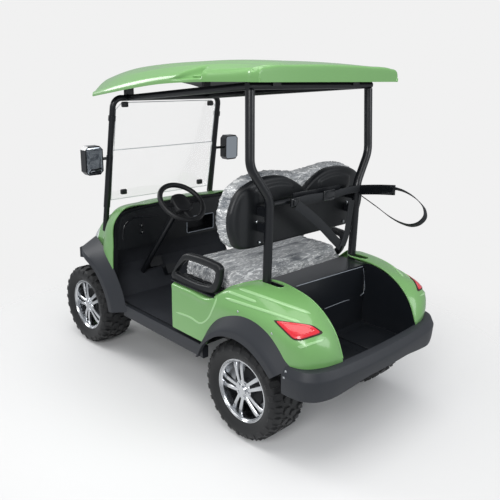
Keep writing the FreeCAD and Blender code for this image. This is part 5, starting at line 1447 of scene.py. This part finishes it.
def make_bin_edge(finishes):
    """The bright edge of the open bin beside the bay."""
    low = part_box("dashboard")[0]
    middle_y = (BIN_NEAR + BIN_FAR) / 2
    middle_z = low.z + (BIN_LOW + BIN_TOP) / 2
    outline = rounded_outline((BIN_NEAR - BIN_FAR) / 2, (BIN_TOP - BIN_LOW) / 2, BIN_CORNER, 4)
    loop = [Vector((low.x - 0.001, middle_y + y, middle_z + z)) for y, z in outline]
    piece("Bin_edge", swept("Bin_edge", loop, 0.0035, sides=10, closed=True),
          finishes["pale_edge_and_painted_highlight"], "dashboard", sharp=60)


# The fold of the shelf over the bag well, and the seam of the well's front wall.
SHELF_PIXELS = [(296.5, 286.3), (318, 279.8), (342, 272.6), (362.5, 266.6)]
SEAM_PIXELS = [(363.4, 268.5), (364.2, 280), (364.6, 289), (363.8, 292.5), (361.5, 294.7),
               (344, 301.2), (324.5, 308.8)]


def make_well_floor(finishes):
    """The two raised panels on the bag well's floor."""
    low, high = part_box("bag_well")
    floor = at(0, 0, DECK + 55).z
    parts = []
    for y_low, y_high in ((-0.31, -0.03), (0.03, 0.31)):
        parts.append(rounded_slab(Vector((low.x + 0.05, y_low, floor - 0.001)),
                                  Vector((high.x - 0.05, y_high, floor + 0.007)), 4))
    piece("Well_floor_panels", joined("Well_floor_panels", parts),
          finishes["satin_moulding"], "bag_well", sharp=35)


def make_well_seams(finishes):
    """The fold of the shelf over the bag well and the seam of its front wall, drawn as pale lines
    of painted highlight.
    """
    inside = surface_of(frame["nodes"]["bag_well"], frame["nodes"]["seat_box"])
    lines = []
    for pixels, radius in ((SHELF_PIXELS, 0.0022), (SEAM_PIXELS, 0.0016)):
        line = [seen_on(inside, *pixel)[0] for pixel in pixels]
        lines.append(swept("Line", smooth_line(line, 6), radius, sides=8))
    piece("Well_seams", joined("Well_seams", lines), finishes["pale_edge_and_painted_highlight"], "bag_well",
          sharp=60)


# Straps

# The middle lines of the loop behind the right post, of the two hanging bands and of the
# stiff sleeve.
LOOP_PIXELS = [(392, 188), (401, 190), (410, 194.3), (419, 201.5), (424.5, 209), (425.3, 216),
               (420, 222.8), (411, 225.5), (401, 223), (391, 217.6), (377, 207), (361, 195.5)]
HANG_PIXELS = [(297, 205), (308, 213.5), (322, 226), (333, 238), (341, 246.5)]
RISE_PIXELS = [(342.5, 246), (346, 236), (348.5, 222), (352, 200)]
SLEEVE_PIXELS = [(349, 190.5), (362, 189.8), (378, 189.6), (395, 190.2)]
# A strap's section, as shares of its half width and half thickness.
RIBBON_CORNERS = [(-1, -0.5), (-0.94, -1), (0.94, -1), (1, -0.5), (1, 0.5), (0.94, 1),
                  (-0.94, 1), (-1, 0.5)]
# Where the band across the posts runs, from the rear axle's middle.
BAND_X, BAND_Z = -9.3, 1330
POST_Y = -390


def ribbon(line, side, thickness):
    """A flat strap along a line of points, as wide as twice the side."""
    loops = []
    for i, point in enumerate(line):
        way = (line[min(i + 1, len(line) - 1)] - line[max(i - 1, 0)]).normalized()
        out = way.cross(side).normalized() * (thickness / 2000)
        loops.append([point + side * across + out * up for across, up in RIBBON_CORNERS])
    return rings("Ribbon", loops)


def make_bag_strap(finishes):
    """The bag strap: a loop behind the right post, a band across the posts, and two bands
    that hang towards the seat."""
    loop = smooth_line([on_plane(*pixel, "y", POST_Y) for pixel in LOOP_PIXELS], 7)
    cross = smooth_line([at(BAND_X - 3, y, BAND_Z + 4 * math.sin(y / 60))
                         for y in (252, 120, 0, -130, -260, -380)], 5)
    hang = smooth_line([on_plane(*pixel, "x", BAND_X - 24) for pixel in HANG_PIXELS], 6)
    rise = smooth_line([on_plane(*pixel, "x", BAND_X - 30) for pixel in RISE_PIXELS], 6)
    bands = [ribbon(loop, Vector((0, 0.020, 0.012)), 4),
             ribbon(cross, Vector((0, 0, 0.022)), 3.5),
             ribbon(hang, Vector((0, -0.018, 0.022)), 3),
             ribbon(rise, Vector((0, 0.027, 0.006)), 3)]
    piece("Bag_strap", joined("Bag_strap", bands), finishes["strap_web"], "bag_holder",
          sharp=50)


def make_strap_fittings(finishes):
    """The strap's stiff sleeve, the two parts of its buckle and its slide."""
    line = smooth_line([on_plane(*pixel, "y", POST_Y) for pixel in SLEEVE_PIXELS], 5)
    fittings = [dressed(ribbon(line, Vector((0, 0.002, 0.031)), 11), "BEVEL", width=0.003,
                        segments=2, limit_method="ANGLE"),
                rounded_slab(at(-26, 190, 1304), at(-10, 262, 1354), 6),
                rounded_slab(at(-33, 204, 1312), at(-24, 248, 1346), 3),
                rounded_slab(at(-22, -120, 1300), at(-12, -20, 1360), 4)]
    piece("Strap_fittings", joined("Strap_fittings", fittings), finishes["gloss_black"],
          "bag_holder", sharp=35)


# Screen and roof cap

# How far the panes lean back for each metre up.
PANE_LEAN = 0.157


def make_screen_edges(finishes):
    """The polished edges of the two panes, painted pale as thin lines of painted highlight where
    they catch the light.
    """
    parts = []
    for name, corner in (("windscreen_lower", 0.005), ("windscreen_upper", 0.046)):
        low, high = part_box(name)
        half = high.y
        outline = [(-half, low.z), (half, low.z), (half, high.z - corner),
                   (half - corner, high.z - 0.002), (-half + corner, high.z - 0.002),
                   (-half, high.z - corner)]
        middle = (low + high) / 2
        line = [Vector((middle.x + PANE_LEAN * (middle.z - z), y, z)) for y, z in outline]
        fine = []
        for i, point in enumerate(line):
            after = line[(i + 1) % len(line)]
            fine += [point.lerp(after, k / 6) for k in range(6)]
        parts.append(swept("Edge", fine, 0.0026, sides=8, closed=True))
    piece("Screen_edges", joined("Screen_edges", parts), finishes["screen_edge_painted_highlight"],
          "windscreen_upper", sharp=60)


# The four clips, in the photograph.
CLIP_PIXELS = [(124, 104.3), (209.3, 103.1), (122.9, 191.4), (198.6, 181.4)]


def make_clips(finishes):
    """The four small clips that grip the panes."""
    panes = surface_of(frame["nodes"]["windscreen_lower"], frame["nodes"]["windscreen_upper"])
    half = Vector((0.013, 0.023, 0.018))
    spots = [seen_on(panes, *pixel)[0] - Vector((0.010, 0, 0)) for pixel in CLIP_PIXELS]
    clips = [rounded_slab(spot - half, spot + half, 7, 4) for spot in spots]
    piece("Screen_clips", joined("Screen_clips", clips), finishes["black_moulding"],
          "windscreen_upper", sharp=50)


# The roof's cap: its place forward of the axle, its half length and half width, and its
# levels as a size and a height.
CAP_X = 1620
CAP_LENGTH, CAP_WIDTH = 120, 65
CAP_LEVELS = [(1.0, -2), (1.0, 7), (0.96, 14), (0.86, 19), (0.6, 22), (0.2, 23)]
# The power of the oval: 2 is an ellipse, and more is squarer.
CAP_POWER = 2.6


def make_roof_cap(finishes, roof):
    """The low oval cap on the roof's middle, near its front."""
    loops = []
    for size, lift in CAP_LEVELS:
        loop = []
        for k in range(48):
            along, across = math.cos(math.tau * k / 48), math.sin(math.tau * k / 48)
            reach = size / (abs(along) ** CAP_POWER + abs(across) ** CAP_POWER) ** (1 / CAP_POWER)
            spot = at(CAP_X + CAP_LENGTH * reach * along, CAP_WIDTH * reach * across, 2400)
            below = roof.ray_cast(spot, Vector((0, 0, -1)))[0]
            loop.append(below + Vector((0, 0, lift / 1000)))
        loops.append(loop)
    piece("Roof_cap", rings("Roof_cap", loops), finishes["black_moulding"], "roof", sharp=40)


# Finishing the part's own nodes

# Rounded edges of the plain mouldings, in millimetres.
EDGES = {
    "dashboard": 9, "front_bumper": 12, "sills": 4, "mirrors": 9, "seat_box": 4,
    "bag_well": 3, "cowl_trim": 3, "seat_base": 4, "front_grille": 3, "battery_pack": 6,
    "bag_holder": 2, "pedals": 3, "frame_rails": 5,
}


def dress_nodes(finishes):
    """The finishes of the part's own nodes, and a rounding where a moulding has one."""
    slots = {row["node"]: row["material_slot"] for row in frame["record"]["subparts"]}
    for name, item in frame["nodes"].items():
        finish = "satin_moulding" if name in ("bag_well", "seat_box") else slots[name]
        for slot in item.material_slots:
            slot.material = finishes[finish]
        for polygon in item.data.polygons:
            polygon.use_smooth = True
        item.data.set_sharp_from_angle(angle=math.radians(32))
        if name in EDGES:
            step = item.modifiers.new("Rounded", "BEVEL")
            step.width = EDGES[name] / 1000
            step.segments = 3
            step.limit_method = "ANGLE"
            step.angle_limit = math.radians(38)
            step.harden_normals = True


def main():
    """Builds every piece on the loaded part, then the stage."""
    finishes = make_materials()
    finishes["screen_clear"] = clear_sheet()
    finishes["mirror_silver"] = silvered_glass()
    finishes["seat_cover"] = filmed_vinyl("Bench_vinyl_in_film", (1.0, 0.17, 0.7))
    finishes["back_cover"] = filmed_vinyl("Back_vinyl_in_film", (0.35, 0.25, 1.0))
    dress_nodes(finishes)
    roof = make_roof(finishes)
    for make in (make_cowl, make_bench_cushion, make_back_cushion, make_back_shell,
                 make_armrests, make_steering_wheel, make_mirror_glass, make_dash_bay,
                 make_bin_edge, make_well_floor, make_well_seams, make_bag_strap,
                 make_strap_fittings, make_screen_edges, make_clips):
        make(finishes)
    make_roof_cap(finishes, surface_of(roof))
    make_wheels(finishes)
    quarter = make_rear_panels(finishes)
    bumper = make_rear_bumper(finishes)
    rear_flares = make_flares(finishes)
    panel = surface_of(quarter)
    make_tail_lamps(finishes, panel)
    make_panel_relief(finishes, panel)
    make_body_screws(finishes, surface_of(quarter, bumper, rear_flares))
    make_backrest_bolts(finishes)
    make_backdrop()
    make_floor()
    make_lamps()
    make_camera()


main()
